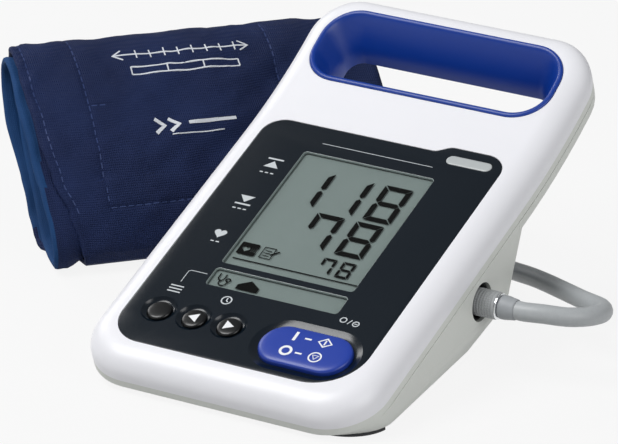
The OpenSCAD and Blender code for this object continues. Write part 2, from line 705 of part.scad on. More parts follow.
// Point of the flattened spiral: turns t from the outer end, drawn in by s
roll_p = layer_t + layer_gap;
function roll_point(t, s) = let (a = t * 360 - 90, d = t * roll_p + s, ra = cuff_a - d, rb = cuff_b - d,
    x = ra * sign(cos(a)) * pow(abs(cos(a)), 0.85), y = rb * sign(sin(a)) * pow(abs(sin(a)), 0.85))
    [cuff_c[0] + x * cos(cuff_lean) - y * sin(cuff_lean),
        max(d + 0.2, cuff_c[1] + x * sin(cuff_lean) + y * cos(cuff_lean))];
function band(t0, t1, s0, s1, n) = concat(
    [for (i = [0:n]) roll_point(t0 + (t1 - t0) * i / n, s0)],
    [for (i = [n:-1:0]) roll_point(t0 + (t1 - t0) * i / n, s1)]);

bladder_t = [0.3, 1.2];
module cuff_roll() {
    color(navy) at_cuff() difference() {
        linear_extrude(cuff_w) polygon(band(0, cuff_turns, 0, layer_t, 110));
        translate([0, 0, 12]) linear_extrude(cuff_w - 24)
            polygon(band(bladder_t[0], bladder_t[1], 1, layer_t - 1, 40));
    }
}

module cuff_bladder() {
    color([0.3, 0.3, 0.3]) at_cuff() translate([0, 0, 12.5]) linear_extrude(cuff_w - 25)
        polygon(band(bladder_t[0] + 0.005, bladder_t[1] - 0.005, 1.2, layer_t - 1.2, 40));
}

// Elbow on the back of the cuff, facing the coil
module cuff_port() {
    color([0.3, 0.31, 0.33]) at_cuff() translate([0, 0, port_at[0]]) {
        translate([cuff_c[0] + (cuff_b - 0.6) * sin(cuff_lean), cuff_c[1] - (cuff_b - 0.6) * cos(cuff_lean), 0])
            rotate([0, 0, cuff_lean - 90]) rotate([0, 90, 0]) {
                cylinder(d = 16, h = 2, $fn = 48);
                cylinder(d = 8, h = 8, $fn = 32);
            }
        translate([port_at[1] - 10, port_at[2], 0]) {
            rotate([0, 90, 0]) cylinder(d = 8, h = 10, $fn = 32);
            sphere(d = 8, $fn = 32);
        }
    }
}

front_cover();
rear_cover();
handle_liner();
display_panel();
display_window();
lcd_glass();
lcd_frame();
mode_key();
back_key();
next_key();
start_stop_key();
key_mat();
pulse_lamp();
main_board();
pressure_sensor();
buzzer();
board_screws();
pump();
pump_cradle();
exhaust_valve();
leak_valve();
air_lines();
air_socket();
socket_ring();
power_jack();
battery_pack();
battery_contacts();
battery_cover();
front_feet();
rear_feet();
middle_foot();
case_screws();
plug_body();
plug_collar();
plug_ring();
plug_sleeve();
hose();
hose_coil();
hose_tail();
cuff_roll();
cuff_bladder();
cuff_port();
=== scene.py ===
import bpy
import bmesh
import json
import math
from mathutils import Matrix, Vector, noise

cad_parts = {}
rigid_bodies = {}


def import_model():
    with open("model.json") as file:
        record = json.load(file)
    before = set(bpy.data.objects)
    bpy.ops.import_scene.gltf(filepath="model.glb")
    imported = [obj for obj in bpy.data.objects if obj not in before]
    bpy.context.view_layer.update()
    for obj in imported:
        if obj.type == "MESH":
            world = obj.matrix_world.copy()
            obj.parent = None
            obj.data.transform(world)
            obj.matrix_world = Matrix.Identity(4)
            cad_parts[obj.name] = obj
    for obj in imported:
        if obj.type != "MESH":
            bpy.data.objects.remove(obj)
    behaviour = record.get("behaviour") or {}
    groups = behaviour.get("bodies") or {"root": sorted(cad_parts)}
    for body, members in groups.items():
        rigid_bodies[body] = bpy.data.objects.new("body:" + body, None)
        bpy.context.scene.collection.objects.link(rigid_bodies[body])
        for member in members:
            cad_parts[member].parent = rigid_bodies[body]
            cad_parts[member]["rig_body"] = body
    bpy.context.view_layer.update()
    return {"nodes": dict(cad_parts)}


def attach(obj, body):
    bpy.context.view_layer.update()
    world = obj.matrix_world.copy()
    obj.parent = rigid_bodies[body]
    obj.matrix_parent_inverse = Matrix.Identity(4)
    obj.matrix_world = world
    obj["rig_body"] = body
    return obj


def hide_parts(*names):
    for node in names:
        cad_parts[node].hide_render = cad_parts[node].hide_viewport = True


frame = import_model()
nodes = frame["nodes"]
scene = bpy.context.scene
print("frame loaded with", len(nodes), "nodes")

mm = 0.001

# The sloped face: u across, v up the slope, d below it, all in mm as in the part's source
face = {"slope": 22.0, "frontHeight": 14.5, "back": 60.0, "curlFrom": 136.0, "curlRadius": 265.0}


def faceLift(v):
    # how far the handle end curves up from the plane of the face
    return max(0.0, v - face["curlFrom"]) ** 2 / (2 * face["curlRadius"])


def onFace(u, v, d=0.0):
    a = math.radians(face["slope"])
    d = d - faceLift(v)
    y = v * math.cos(a) + d * math.sin(a) - face["back"]
    z = v * math.sin(a) - d * math.cos(a) + face["frontHeight"]
    return Vector((u * mm, y * mm, z * mm))


def faceDepth(p):
    # how far a point lies below the face, in mm
    a = math.radians(face["slope"])
    y, z = p.y / mm + face["back"], p.z / mm - face["frontHeight"]
    return y * math.sin(a) - z * math.cos(a) + faceLift(y * math.cos(a) + z * math.sin(a))


# Small helpers

def srgb(code):
    vals = [int(code[i:i + 2], 16) / 255 for i in (1, 3, 5)]
    return tuple(c / 12.92 if c <= 0.04045 else ((c + 0.055) / 1.055) ** 2.4 for c in vals) + (1.0,)


def newMaterial(name):
    mat = bpy.data.materials.new(name)
    mat.use_nodes = True
    tree = mat.node_tree
    tree.nodes.clear()
    out = tree.nodes.new("ShaderNodeOutputMaterial")
    shader = tree.nodes.new("ShaderNodeBsdfPrincipled")
    tree.links.new(shader.outputs[0], out.inputs[0])
    return mat, tree, shader


def setInputs(node, **inputs):
    # another node's output is linked, anything else is set; i6 means input number 6
    for key, value in inputs.items():
        socket = node.inputs[int(key[1:]) if key[1:].isdigit() else key.replace("_", " ")]
        if isinstance(value, bpy.types.NodeSocket):
            node.id_data.links.new(value, socket)
        else:
            socket.default_value = value


def add(tree, kind, settings=None, **inputs):
    node = tree.nodes.new(kind)
    for key, value in (settings or {}).items():
        setattr(node, key, value)
    setInputs(node, **inputs)
    return node


def newPiece(name, data, look, slotName, *stands, body="case"):
    # a piece in one of the finishes, which rides on a body and stands for the nodes it replaces
    obj = bpy.data.objects.new(name, data)
    scene.collection.objects.link(obj)
    data.materials.clear()
    data.materials.append(finish[look])
    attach(obj, body)
    if stands:
        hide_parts(*stands)
    return obj


# Camera: its place in metres, its lens and sensor in mm
camera = {
    "place": (0.80845, -1.41132, 0.68861),
    "look": (-0.46031, 0.81095, -0.36121),
    "up": (-0.19523, 0.30444, 0.93231),
    "lens": 270.9,
    "sensor": 36.0,
    "reach": 50.0,
}


def makeCamera():
    data = bpy.data.cameras.new("photoCamera")
    data.lens = camera["lens"]
    data.sensor_width = camera["sensor"]
    data.clip_end = camera["reach"]
    obj = bpy.data.objects.new("photoCamera", data)
    scene.collection.objects.link(obj)
    back = -Vector(camera["look"]).normalized()
    right = Vector(camera["up"]).cross(back).normalized()
    up = back.cross(right).normalized()
    turn = Matrix((right, up, back)).transposed().to_4x4()
    obj.matrix_world = Matrix.Translation(Vector(camera["place"])) @ turn
    scene.camera = obj


makeCamera()
print("camera set")

# Air hose: its route and its coil repeat the numbers of the part's source, in mm
hose = {
    "diameter": 7.4, "plugEnd": (77.3, 36.481, 27.165), "straight": 3.5, "smooth": 3,
    "route": [(88, 37.9, 27.4), (96, 41.5, 26.7), (101.5, 48.5, 25.7), (102.8, 57.5, 24.3), (98, 66, 22.7),
              (87.5, 72, 21.4), (77, 78.8, 20), (67, 85.2, 18.7), (57, 91.5, 17.2), (46.5, 98.5, 14.8),
              (36, 106.5, 11.8), (24, 116, 8.5), (11, 127, 5.2), (-4, 139.6, 3.8), (-20, 153, 3.7),
              (-42, 171.5, 3.7), (-64, 190, 3.7)],
    "coilMiddle": (117, 92), "coilDiameter": 82.0, "coilTurns": 2.5, "coilGap": 0.6, "coilSteps": 24,
    "tail": [(71.4, 77, 13.4), (73.4, 70.4, 15.7), (74, 63, 16)],  # beside the cuff, up to its port
}
cuffPlace = {"corner": (-124.0, 28.0), "direction": 50.0, "width": 151.0}


def onCuff(a, b, z):
    # a along the roll, b across it, z up, in mm
    t = math.radians(cuffPlace["direction"])
    x, y = cuffPlace["corner"]
    return Vector((x + a * math.cos(t) - b * math.sin(t), y + a * math.sin(t) + b * math.cos(t), z))


def coilPoint(i):
    # the turns widen outwards in two layers, with a soft climb between them
    pitch = hose["diameter"] + hose["coilGap"]
    t, half = i / hose["coilSteps"], hose["coilTurns"] / 2
    radius = hose["coilDiameter"] / 2 + (abs(t - half) - half / 2) * pitch
    climb = min(1.0, max(0.0, (t - half + 0.25) * 2))
    a = math.radians(t * 360)
    x, y = hose["coilMiddle"]
    return onCuff(x + radius * math.cos(a), y + radius * math.sin(a),
                  hose["diameter"] / 2 + pitch * (1 - math.cos(math.radians(climb * 180))) / 2)


def smoothRoute(points):
    # one smooth curve through all the points
    p = [Vector(q) for q in points]
    n = hose["smooth"]
    out = []
    for i in range(len(p) - 1):
        a, b, c, d = p[max(i - 1, 0)], p[i], p[i + 1], p[min(i + 2, len(p) - 1)]
        for t in (k / n for k in range(n)):
            out.append(0.5 * (2 * b + (c - a) * t + (2 * a - 5 * b + 4 * c - d) * t * t
                              + (3 * b - a - 3 * c + d) * t ** 3))
    return out + [p[-1]]


def hosePath():
    t = math.radians(cuffPlace["direction"])
    lead = hose["diameter"] * Vector((-math.sin(t), math.cos(t), 0))
    start = Vector(hose["plugEnd"])
    coil = [coilPoint(i) for i in range(int(hose["coilTurns"] * hose["coilSteps"]) + 1)]
    free = [start, start + Vector((hose["straight"], 0, 0))] + hose["route"] + [coil[0] - lead, coil[0]]
    tail = [coil[-1], coil[-1] - lead] + [onCuff(*q) for q in hose["tail"]]
    return [q * mm for q in smoothRoute(free)[:-1] + coil + smoothRoute(tail)[1:]]


def makeHoseSkin():
    # extruded PVC: grey, smooth and slightly matt, with a soft broad highlight
    mat, tree, shader = newMaterial("pvcHose")
    spot = add(tree, "ShaderNodeTexCoord").outputs["Object"]
    # faint mottling of the extruded skin, one patch to 1.7 mm
    mottle = add(tree, "ShaderNodeTexNoise", Vector=spot, Scale=0.6 / mm, Detail=3.0).outputs["Fac"]
    tone = add(tree, "ShaderNodeMix", {"data_type": "RGBA"}, Factor=mottle,
               i6=srgb("#a9adb0"), i7=srgb("#b4b8ba"))
    bump = add(tree, "ShaderNodeBump", Height=mottle, Strength=0.06, Distance=0.3 * mm)
    setInputs(shader, Roughness=0.42, IOR=1.53, Base_Color=tone.outputs[2], Normal=bump.outputs[0])
    return mat


def makeHose():
    points = hosePath()
    data = bpy.data.curves.new("airHose", "CURVE")
    data.dimensions = "3D"
    data.bevel_depth = hose["diameter"] / 2 * mm
    data.bevel_resolution = 6
    data.use_fill_caps = True
    spline = data.splines.new("POLY")
    spline.points.add(len(points) - 1)
    for spot, q in zip(spline.points, points):
        spot.co = (*q, 1)
    spline.use_smooth = True
    obj = newPiece("airHose", data, "pvcHose", "hose_grey", "hose", "hose_coil", "hose_tail")


# Finishes: light tone, dark tone, roughness, strength of the grain and, where it isn't plain, gloss
finishes = {
    # injection moulded ABS: an even satin skin, and a duller one where the mould is etched deeper
    "whiteAbs": ("#f1f1f6", "#edeef3", 0.36, 0.05),
    "greyAbs": ("#dee1dc", "#d8dbd6", 0.5, 0.12),
    "blueKeyAbs": ("#203fa4", "#1c3b9f", 0.34, 0.04),
    # moulded rubbers: a soft broad sheen on grip, keys and silicone tube, a dull coarse skin on the feet
    "softGripRubber": ("#033a9a", "#023490", 0.36, 0.08),
    "blackKeyRubber": ("#07090c", "#050709", 0.3, 0.03),
    "footRubber": ("#1d1f22", "#191b1e", 0.7, 0.2),
    "siliconeTube": ("#dfe2e0", "#d3d7d5", 0.35, 0.02),
    # cast acrylic, printed black from behind: deep and glossy, with a paler cut edge at the windows
    "blackPanelAcrylic": ("#07141f", "#06121c", 0.22, 0.01),
    "cutAcrylicEdge": ("#8d9796", "#838d8d", 0.22, 0.02),
    # moulded nylon: a satin skin with a little grain
    "darkNylon": ("#35383c", "#2f3236", 0.5, 0.1),
    "collarNylon": ("#b4b7b9", "#aeb1b3", 0.45, 0.08),
    "sleeveNylon": ("#a4a8ac", "#9da1a5", 0.45, 0.08),
    # green solder mask on glass laminate, and the shrunk film round the battery cells: both smooth
    "greenBoardLaminate": ("#1f6b3a", "#1a5f33", 0.4, 0.05),
    "batteryShrinkWrap": ("#2f7d4f", "#2a7247", 0.35, 0.05),
    # milky polycarbonate, which spreads the lamp's light
    "milkyPolycarbonate": ("#b9bebf", "#b2b7b8", 0.3, 0.02),
    # driven liquid crystal: it lies against the glass, so it has no gloss of its own
    "darkLiquidCrystal": ("#050607", "#030404", 0.32, 0.0, 0.0),
    # screen printed inks and the cuff's thread: thin and matt
    "paleScreenInk": ("#c9ced2", "#c2c8cc", 0.5, 0.02),
    "whiteKeyInk": ("#f2f4f6", "#eceef1", 0.45, 0.02),
    "whiteTextileInk": ("#dfe3ea", "#d3d8e0", 0.6, 0.1),
    "polyesterThread": ("#2c4174", "#25386a", 0.6, 0.1),
}
# Metals: light tone, dark tone and roughness
metals = {
    # grey zinc on the screws and the pump, chrome that mirrors, and warm yellow brass
    "zincPlatedSteel": ("#c8cacc", "#b4b7ba", 0.28),
    "chromedBrass": ("#f2f4f6", "#d8dadc", 0.16),
    "platedBrass": ("#d2b878", "#b89a55", 0.3),
}


def makeSkin(name, light, dark, roughness, grain, gloss=0.5):
    # plain plastics, rubbers and inks: clouds of two near tones under a fine grain
    mat, tree, shader = newMaterial(name)
    spot = add(tree, "ShaderNodeTexCoord").outputs["Object"]
    # one cloud to 36 mm
    cloud = add(tree, "ShaderNodeTexNoise", Vector=spot, Scale=0.028 / mm, Detail=2.0)
    tone = add(tree, "ShaderNodeMix", {"data_type": "RGBA"}, Factor=cloud.outputs["Fac"],
               i6=srgb(dark), i7=srgb(light))
    # spark grain of 0.7 mm, coarser than the real one so that it shows
    spark = add(tree, "ShaderNodeTexNoise", Vector=spot, Scale=1.4 / mm, Detail=2.0).outputs["Fac"]
    rough = add(tree, "ShaderNodeMapRange", Value=spark, To_Min=roughness - 0.05, To_Max=roughness + 0.05)
    bump = add(tree, "ShaderNodeBump", Height=spark, Strength=grain, Distance=0.2 * mm)
    setInputs(shader, IOR=1.53, Specular_IOR_Level=gloss, Base_Color=tone.outputs[2],
              Roughness=rough.outputs[0], Normal=bump.outputs[0])
    return mat


def makeMetal(name, light, dark, roughness):
    # plated metal: bright, with fine turning marks
    mat, tree, shader = newMaterial(name)
    spot = add(tree, "ShaderNodeTexCoord").outputs["Object"]
    # marks of 1.1 mm, coarser than the real ones so that they show
    marks = add(tree, "ShaderNodeTexNoise", Vector=spot, Scale=0.9 / mm, Detail=2.0).outputs["Fac"]
    tone = add(tree, "ShaderNodeMix", {"data_type": "RGBA"}, Factor=marks, i6=srgb(dark), i7=srgb(light))
    rough = add(tree, "ShaderNodeMapRange", Value=marks, To_Min=roughness, To_Max=roughness + 0.12)
    setInputs(shader, Metallic=1.0, Base_Color=tone.outputs[2], Roughness=rough.outputs[0])
    return mat


finish = {name: makeSkin(name, *values) for name, values in finishes.items()}
finish.update({name: makeMetal(name, *values) for name, values in metals.items()})
finish["pvcHose"] = makeHoseSkin()
print("finishes mixed")

# Outlines: lists of (u, v) in mm
arcSteps = 20  # quads round each corner of the case
sideStep = 3.0  # longest quad along its sides


def arcPoints(cx, cy, r, a0, a1, n):
    return [(cx + r * math.cos(math.radians(a0 + (a1 - a0) * i / n)),
             cy + r * math.sin(math.radians(a0 + (a1 - a0) * i / n))) for i in range(n + 1)]


def circleOutline(cx, cy, r, n=60):
    return arcPoints(cx, cy, r, 0, 360 - 360 / n, n - 1)


def stadiumOutline(cx, cy, w, h, g=0.0, n=24):
    # g grows the outline on all sides
    r, half = h / 2 + g, (w - h) / 2
    return arcPoints(cx + half, cy, r, -90, 90, n) + arcPoints(cx - half, cy, r, 90, 270, n)


def boxOutline(cx, cy, w, h, r=1.0, n=8):
    x, y = w / 2 - r, h / 2 - r
    return (arcPoints(cx + x, cy - y, r, -90, 0, n) + arcPoints(cx + x, cy + y, r, 0, 90, n)
            + arcPoints(cx - x, cy + y, r, 90, 180, n) + arcPoints(cx - x, cy - y, r, 180, 270, n))


def halfOutline(w, v1, v2, r1, r2):
    # the right half of a rounded outline, with stations along its straight side
    lo, hi = v1 + r1, v2 - r2
    count = max(1, int((hi - lo) / sideStep))
    side = [(w, lo + (hi - lo) * i / count) for i in range(1, count)]
    return arcPoints(w - r1, lo, r1, -90, 0, arcSteps) + side + arcPoints(w - r2, hi, r2, 0, 90, arcSteps)


def evenStations(halves):
    # the straight sides of all halves get the same number of stations
    arc = arcSteps + 1
    want = max(len(h) for h in halves) - 2 * arc
    out = []
    for half in halves:
        (u, v1), v2 = half[arc - 1], half[len(half) - arc][1]
        side = [(u, v1 + (v2 - v1) * (i + 1) / (want + 1)) for i in range(want)]
        out.append(half[:arc] + side + half[len(half) - arc:])
    return out


# Mesh tools

def atDepth(outline, d):
    return [onFace(u, v, d) for u, v in outline]


def meshFrom(bm, name):
    bmesh.ops.recalc_face_normals(bm, faces=bm.faces)
    mesh = bpy.data.meshes.new(name)
    bm.to_mesh(mesh)
    bm.free()
    return mesh


def ringMesh(name, rings, ends="face"):
    # rings of equal count; each end gets one face or a strip of quads, or the last ring joins the first
    bm = bmesh.new()
    rows = [[bm.verts.new(p) for p in ring] for ring in rings]
    n = len(rows[0])
    for low, high in zip(rows, rows[1:] + rows[:1] if ends == "joined" else rows[1:]):
        for i in range(n):
            bm.faces.new((low[i], low[(i + 1) % n], high[(i + 1) % n], high[i]))
    for row in (rows[0], rows[-1]):
        if ends == "face":
            bm.faces.new(row)
        elif ends == "strip":
            for i in range(n // 2 - 1):
                bm.faces.new((row[i], row[i + 1], row[n - 2 - i], row[n - 1 - i]))
    return meshFrom(bm, name)


def halvesMesh(name, half, profile, ends="strip"):
    # both halves of an outline at each inset and depth of a profile
    halves = evenStations([half(s) for s, d in profile])
    rings = [atDepth(h + [(-u, v) for u, v in reversed(h)], d) for h, (s, d) in zip(halves, profile)]
    return ringMesh(name, rings, ends)


def profileMesh(name, outline, profile, ends="face"):
    # an outline, grown and sunk by each step of a profile
    return ringMesh(name, [atDepth(outline(g), d) for g, d in profile], ends)


def bowlMesh(name, outline, wide, narrow, deep):
    # a cutter that is wide at the face, dished down to its narrow outline and open below
    steps = [i / panel["bowlSteps"] for i in range(panel["bowlSteps"] + 1)]
    dish = [(wide + (narrow - wide) * t, deep * math.sin(t * math.pi / 2)) for t in steps]
    return profileMesh(name, outline, [(wide, -1)] + dish + [(narrow, panel["thick"] + 1)])


def offsetPath(points, width, closed):
    # the two sides of a line of some width, mitred at its corners
    n = len(points)
    left, right = [], []
    for i, p in enumerate(points):
        a = points[i - 1] if i or closed else p
        b = points[(i + 1) % n] if i < n - 1 or closed else p
        before, after = (p[0] - a[0], p[1] - a[1]), (b[0] - p[0], b[1] - p[1])
        before, after = before if any(before) else after, after if any(after) else before
        l1, l2 = math.hypot(*before), math.hypot(*after)
        nx = -(before[1] / l1 + after[1] / l2) / 2
        ny = (before[0] / l1 + after[0] / l2) / 2
        k = width / 2 / max(0.5, nx * nx + ny * ny)
        left.append((p[0] + nx * k, p[1] + ny * k))
        right.append((p[0] - nx * k, p[1] - ny * k))
    return left, right


def addBar(bm, sides, closed=False):
    # faces round a bar, given as its upper left, upper right, lower left and lower right edges
    n = len(sides[0])
    for i in range(n if closed else n - 1):
        j = (i + 1) % n
        for a, b in ((0, 1), (1, 3), (3, 2), (2, 0)):
            bm.faces.new((sides[a][i], sides[b][i], sides[b][j], sides[a][j]))
    if not closed:
        for i in (0, n - 1):
            bm.faces.new((sides[0][i], sides[1][i], sides[3][i], sides[2][i]))


def line(points, width, closed=False):
    return points, width, closed


def fill(points):
    return points, 0.0, True


def plateMesh(name, shapes, top, low):
    # lines and filled outlines on the face, as plates between two depths
    bm = bmesh.new()
    for points, width, closed in shapes:
        if width:
            left, right = offsetPath(points, width, closed)
            sides = [[bm.verts.new(p) for p in atDepth(side, d)]
                     for d in (top, low) for side in (left, right)]
            addBar(bm, sides, closed)
            continue
        hi, lo = [[bm.verts.new(p) for p in atDepth(points, d)] for d in (top, low)]
        bm.faces.new(hi)
        bm.faces.new(lo[::-1])
        for i in range(len(hi)):
            j = (i + 1) % len(hi)
            bm.faces.new((hi[i], lo[i], lo[j], hi[j]))
    return meshFrom(bm, name)


def slabMesh(name, outline, top, low):
    return plateMesh(name, [fill(outline)], top, low)


def carve(mesh, cutters, how="DIFFERENCE"):
    obj = bpy.data.objects.new("carving", mesh)
    tools = [bpy.data.objects.new("cutter", cutter) for cutter in cutters]
    for piece in [obj] + tools:
        scene.collection.objects.link(piece)
    for tool in tools:
        mod = obj.modifiers.new("cut", "BOOLEAN")
        mod.object = tool
        mod.operation = how
        mod.solver = "EXACT"
    done = bpy.data.meshes.new_from_object(obj.evaluated_get(bpy.context.evaluated_depsgraph_get()))
    for piece in [obj] + tools:
        bpy.data.objects.remove(piece)
    return done


def finishMesh(mesh, angle=35.0, bevel=0.0):
    # merges loose corners, rounds the sharp edges a little and shades the rest smooth
    limit = math.radians(angle)
    bm = bmesh.new()
    bm.from_mesh(mesh)
    bmesh.ops.remove_doubles(bm, verts=bm.verts, dist=0.01 * mm)
    bmesh.ops.dissolve_degenerate(bm, edges=bm.edges, dist=0.005 * mm)
    if bevel:
        bmesh.ops.dissolve_limit(bm, angle_limit=math.radians(0.6), verts=bm.verts, edges=bm.edges)
        sharp = [e for e in bm.edges if len(e.link_faces) == 2 and e.calc_face_angle(0) > limit]
        bmesh.ops.bevel(bm, geom=sharp, offset=bevel * mm, offset_type="OFFSET", segments=2, profile=0.5,
                        affect="EDGES", clamp_overlap=True)
    for f in bm.faces:
        f.smooth = True
    for e in bm.edges:
        e.smooth = len(e.link_faces) == 2 and e.calc_face_angle(0) < limit
    bm.to_mesh(mesh)
    bm.free()
    return mesh


# White front cover with its rounded rim, the pocket for the dark panel and the handle opening
shell = {
    "width": 125.0, "length": 213.0, "depth": 14.0, "wall": 2.4, "frontRadius": 22.0, "handleRadius": 20.0,
    "rimWidth": 10.0, "rimRound": 9.0, "rimDrop": 4.4, "groove": 0.45, "skirt": 10.6, "backThick": 3.6,
    "insets": [0.1, 0.35, 0.75, 1.3, 2.0, 2.9, 4.0, 5.4, 7.0, 8.5, 10.0],  # steps across the rim
    "holeMargin": 9.0, "holeHeight": 36.0, "holeTaper": 6.5, "holeRadius": 15.0, "fit": 0.15,
}
panel = {
    "halfWidth": 51.8, "front": 11.6, "back": 143.4, "thick": 2.0, "edge": 0.35,
    "radii": (14, 20, 9), "bump": 3.8, "bumpAt": (28, 20), "slices": (136.0, 139.5, 143.0),
    "windowHalf": 28.8, "windowRadius": 1.6, "window": (61.0, 128.8), "strip": (48.2, 58.2),
    "frameWidth": 67.2, "frameMargin": 4.8, "lamp": (37.4, 140.6, 19.4, 4.8),
    "keys": [(-38.5, 30.2), (-23.3, 30.2), (-8.1, 30.2)], "keyDiameter": 9.6, "flange": 1.7, "gap": 0.3,
    "start": (26.6, 27.2, 38.0, 19.6), "startDish": 3.6, "dishDepth": 1.2,
    "wellRim": 7.1, "wellDepth": 1.4, "bowlSteps": 7,
}


def caseHalf(s):
    w = shell["width"] / 2
    return halfOutline(w - s, s, shell["length"] - s, shell["frontRadius"] - s, shell["handleRadius"] - s)


def holeHalf(s):
    w, top = shell["width"] / 2 - shell["holeMargin"], shell["length"] - shell["holeMargin"]
    r = shell["holeRadius"] - s
    return halfOutline(w - s, top - shell["holeHeight"] + s, top - s, r, r)


def rimDepth(s):
    return shell["rimRound"] * (1 - math.sqrt(1 - (1 - s / shell["rimWidth"]) ** 2))


def panelOutline(g):
    w, v1, v2, bump = panel["halfWidth"], panel["front"], panel["back"], panel["bump"]
    left, right, back = panel["radii"]
    out = arcPoints(-w + left, v1 + left, left + g, 180, 270, arcSteps)
    out += arcPoints(w - right, v1 + right, right + g, 270, 360, arcSteps)
    out += arcPoints(w - back, v2 + bump - back, back + g, 0, 90, arcSteps)
    # behind the lamp the edge lies higher, and comes down in a soft step
    hi, lo = panel["bumpAt"]
    for t in (i / 24 for i in range(25)):
        out.append((hi - (hi - lo) * t - g / 4, v2 + g + bump * (1 + math.cos(math.pi * t)) / 2))
    return out + arcPoints(-w + back, v2 - back, back + g, 90, 180, arcSteps)


def windowOutlines(g):
    # the main window and the strip window below it
    w = 2 * panel["windowHalf"] + 2 * g
    return [boxOutline(0, (lo + hi) / 2, w, hi - lo + 2 * g, r=panel["windowRadius"] + g)
            for lo, hi in (panel["window"], panel["strip"])]


def makeFrontCover():
    wall, depth, rim, fit = shell["wall"], shell["depth"], shell["rimWidth"], shell["fit"]
    groove, taper = shell["groove"], shell["holeTaper"]
    # inset and depth of the outside, then of the tools that cut the hollow and the handle opening
    outside = [(groove, depth), (0, depth - groove), (0, shell["skirt"]), (0, shell["rimRound"] + 0.2)]
    outside += [(s, rimDepth(s)) for s in shell["insets"]]
    inside = [(wall, depth + 1), (wall, shell["rimDrop"] + wall + 0.5), (wall + 4, 2.8 + wall / 2),
              (rim + 1, 0.8 + wall)]
    hole = [(taper - fit, depth + 4), (taper - fit, depth), (-fit, 0), (-fit, -8)]
    lo, hi = panel["strip"][0], panel["window"][1]
    key = panel["keyDiameter"] / 2 + panel["flange"]
    openings = [boxOutline(0, (lo + hi) / 2, panel["frameWidth"], hi - lo + 2 * panel["frameMargin"])]
    openings += [circleOutline(u, v, key, 24) for u, v in panel["keys"]]
    openings.append(stadiumOutline(*panel["start"], g=panel["flange"]))
    openings.append(stadiumOutline(*panel["lamp"], g=panel["gap"]))
    cutters = [halvesMesh("hollow", caseHalf, inside)]
    cutters.append(slabMesh("pocket", panelOutline(fit), -4, panel["thick"]))
    cutters.append(halvesMesh("handleHole", holeHalf, hole))
    cutters += [slabMesh("opening", outline, 0, depth) for outline in openings]
    mesh = finishMesh(carve(halvesMesh("frontCover", caseHalf, outside), cutters), angle=32)
    newPiece("frontCoverPiece", mesh, "whiteAbs", "white_shell", "front_cover")
    # the skirt below the rim takes the rear cover's grey, as painted shade for the lower wall that faces away
    # from the light
    mesh.materials.append(finish["greyAbs"])
    for polygon in mesh.polygons:
        if faceDepth(polygon.center) > shell["skirt"]:
            polygon.material_index = 1


makeFrontCover()
print("front cover made")

# Soft grip insert: inset and depth of its visible face, from the rim into the opening
liner = {
    "face": [(0, 0), (0.05, -0.3), (0.3, -0.62), (0.7, -0.84), (1.1, -0.9), (1.55, -0.8), (2, -0.5),
             (2.35, -0.05), (2.75, 0.6), (3.3, 1.7), (4, 3.2), (5.6, 6.8), (7.0, 10.2)],
    "thick": 1.8, "overlap": 0.6,
}


def makeLiner():
    inner, depth = shell["holeTaper"], shell["depth"]
    outer, back = inner + liner["thick"], depth + shell["backThick"] + liner["overlap"]
    profile = liner["face"] + [(outer, depth), (outer, back), (inner, back), (inner, depth)]
    mesh = finishMesh(halvesMesh("gripLiner", holeHalf, profile, "joined"), angle=50)
    newPiece("gripLinerPiece", mesh, "softGripRubber", "grip_blue", "handle_liner")


makeLiner()


def sliceAcross(mesh, stations):
    # extra edges across the face, so that its flat part stays flat where the rest starts to curve
    bm = bmesh.new()
    bm.from_mesh(mesh)
    for v in stations:
        bmesh.ops.bisect_plane(bm, geom=bm.verts[:] + bm.edges[:] + bm.faces[:], plane_co=onFace(0, v, 0),
                               plane_no=onFace(0, v, 0) - onFace(0, v - 1, 0))
    bm.to_mesh(mesh)
    bm.free()
    return mesh


def makePanel():
    # dark panel with its windows, the wells round its keys and the dish of the wide key
    thick, e, gap = panel["thick"], panel["edge"], panel["gap"]
    profile = [(0, thick), (0, e)]
    profile += [(-e * (1 - math.cos(a)), e * (1 - math.sin(a))) for a in (0.52, 1.05, 1.57)]
    plate = sliceAcross(profileMesh("panelPlate", panelOutline, profile), panel["slices"])
    cutters = [slabMesh("windowCut", outline, -1, thick + 1) for outline in windowOutlines(0)]
    for u, v in panel["keys"]:
        cutters.append(bowlMesh("wellCut", lambda r: circleOutline(u, v, r), panel["wellRim"],
                                panel["keyDiameter"] / 2 + gap, panel["wellDepth"]))
    cutters.append(bowlMesh("dishCut", lambda g: stadiumOutline(*panel["start"], g=g), panel["startDish"],
                            gap, panel["dishDepth"]))
    cutters.append(slabMesh("lampCut", stadiumOutline(*panel["lamp"], g=shell["fit"]), -1, thick + 1))
    mesh = finishMesh(carve(plate, cutters), angle=24)
    newPiece("panelPiece", mesh, "blackPanelAcrylic", "panel_black", "display_panel")


makePanel()
print("panel made")

# Display, in depths below the face: the clear plates, the crystal and the pale layer under it
display = {
    "clear": (0.12, 0.85), "clearInset": 0.44, "crystal": (0.95, 1.01),
    "field": (1.5, 4.0), "fieldInset": 0.1, "reflectorWidth": 59.6, "reflector": (3.75, 5.8),
    # the cut edge of each window, which catches the light as a fine pale line: growth and depth
    "edge": [(-0.02, 0.1), (-0.02, 0.9), (-0.42, 0.9), (-0.38, 0.6), (-0.16, 0.14)],
}


def makeWindowEdges():
    for i, name in enumerate(("mainWindowEdge", "stripWindowEdge")):
        mesh = profileMesh("windowEdge", lambda g: windowOutlines(g)[i], display["edge"], "joined")
        newPiece(name, finishMesh(mesh, angle=30), "cutAcrylicEdge", "clear_window")


makeWindowEdges()

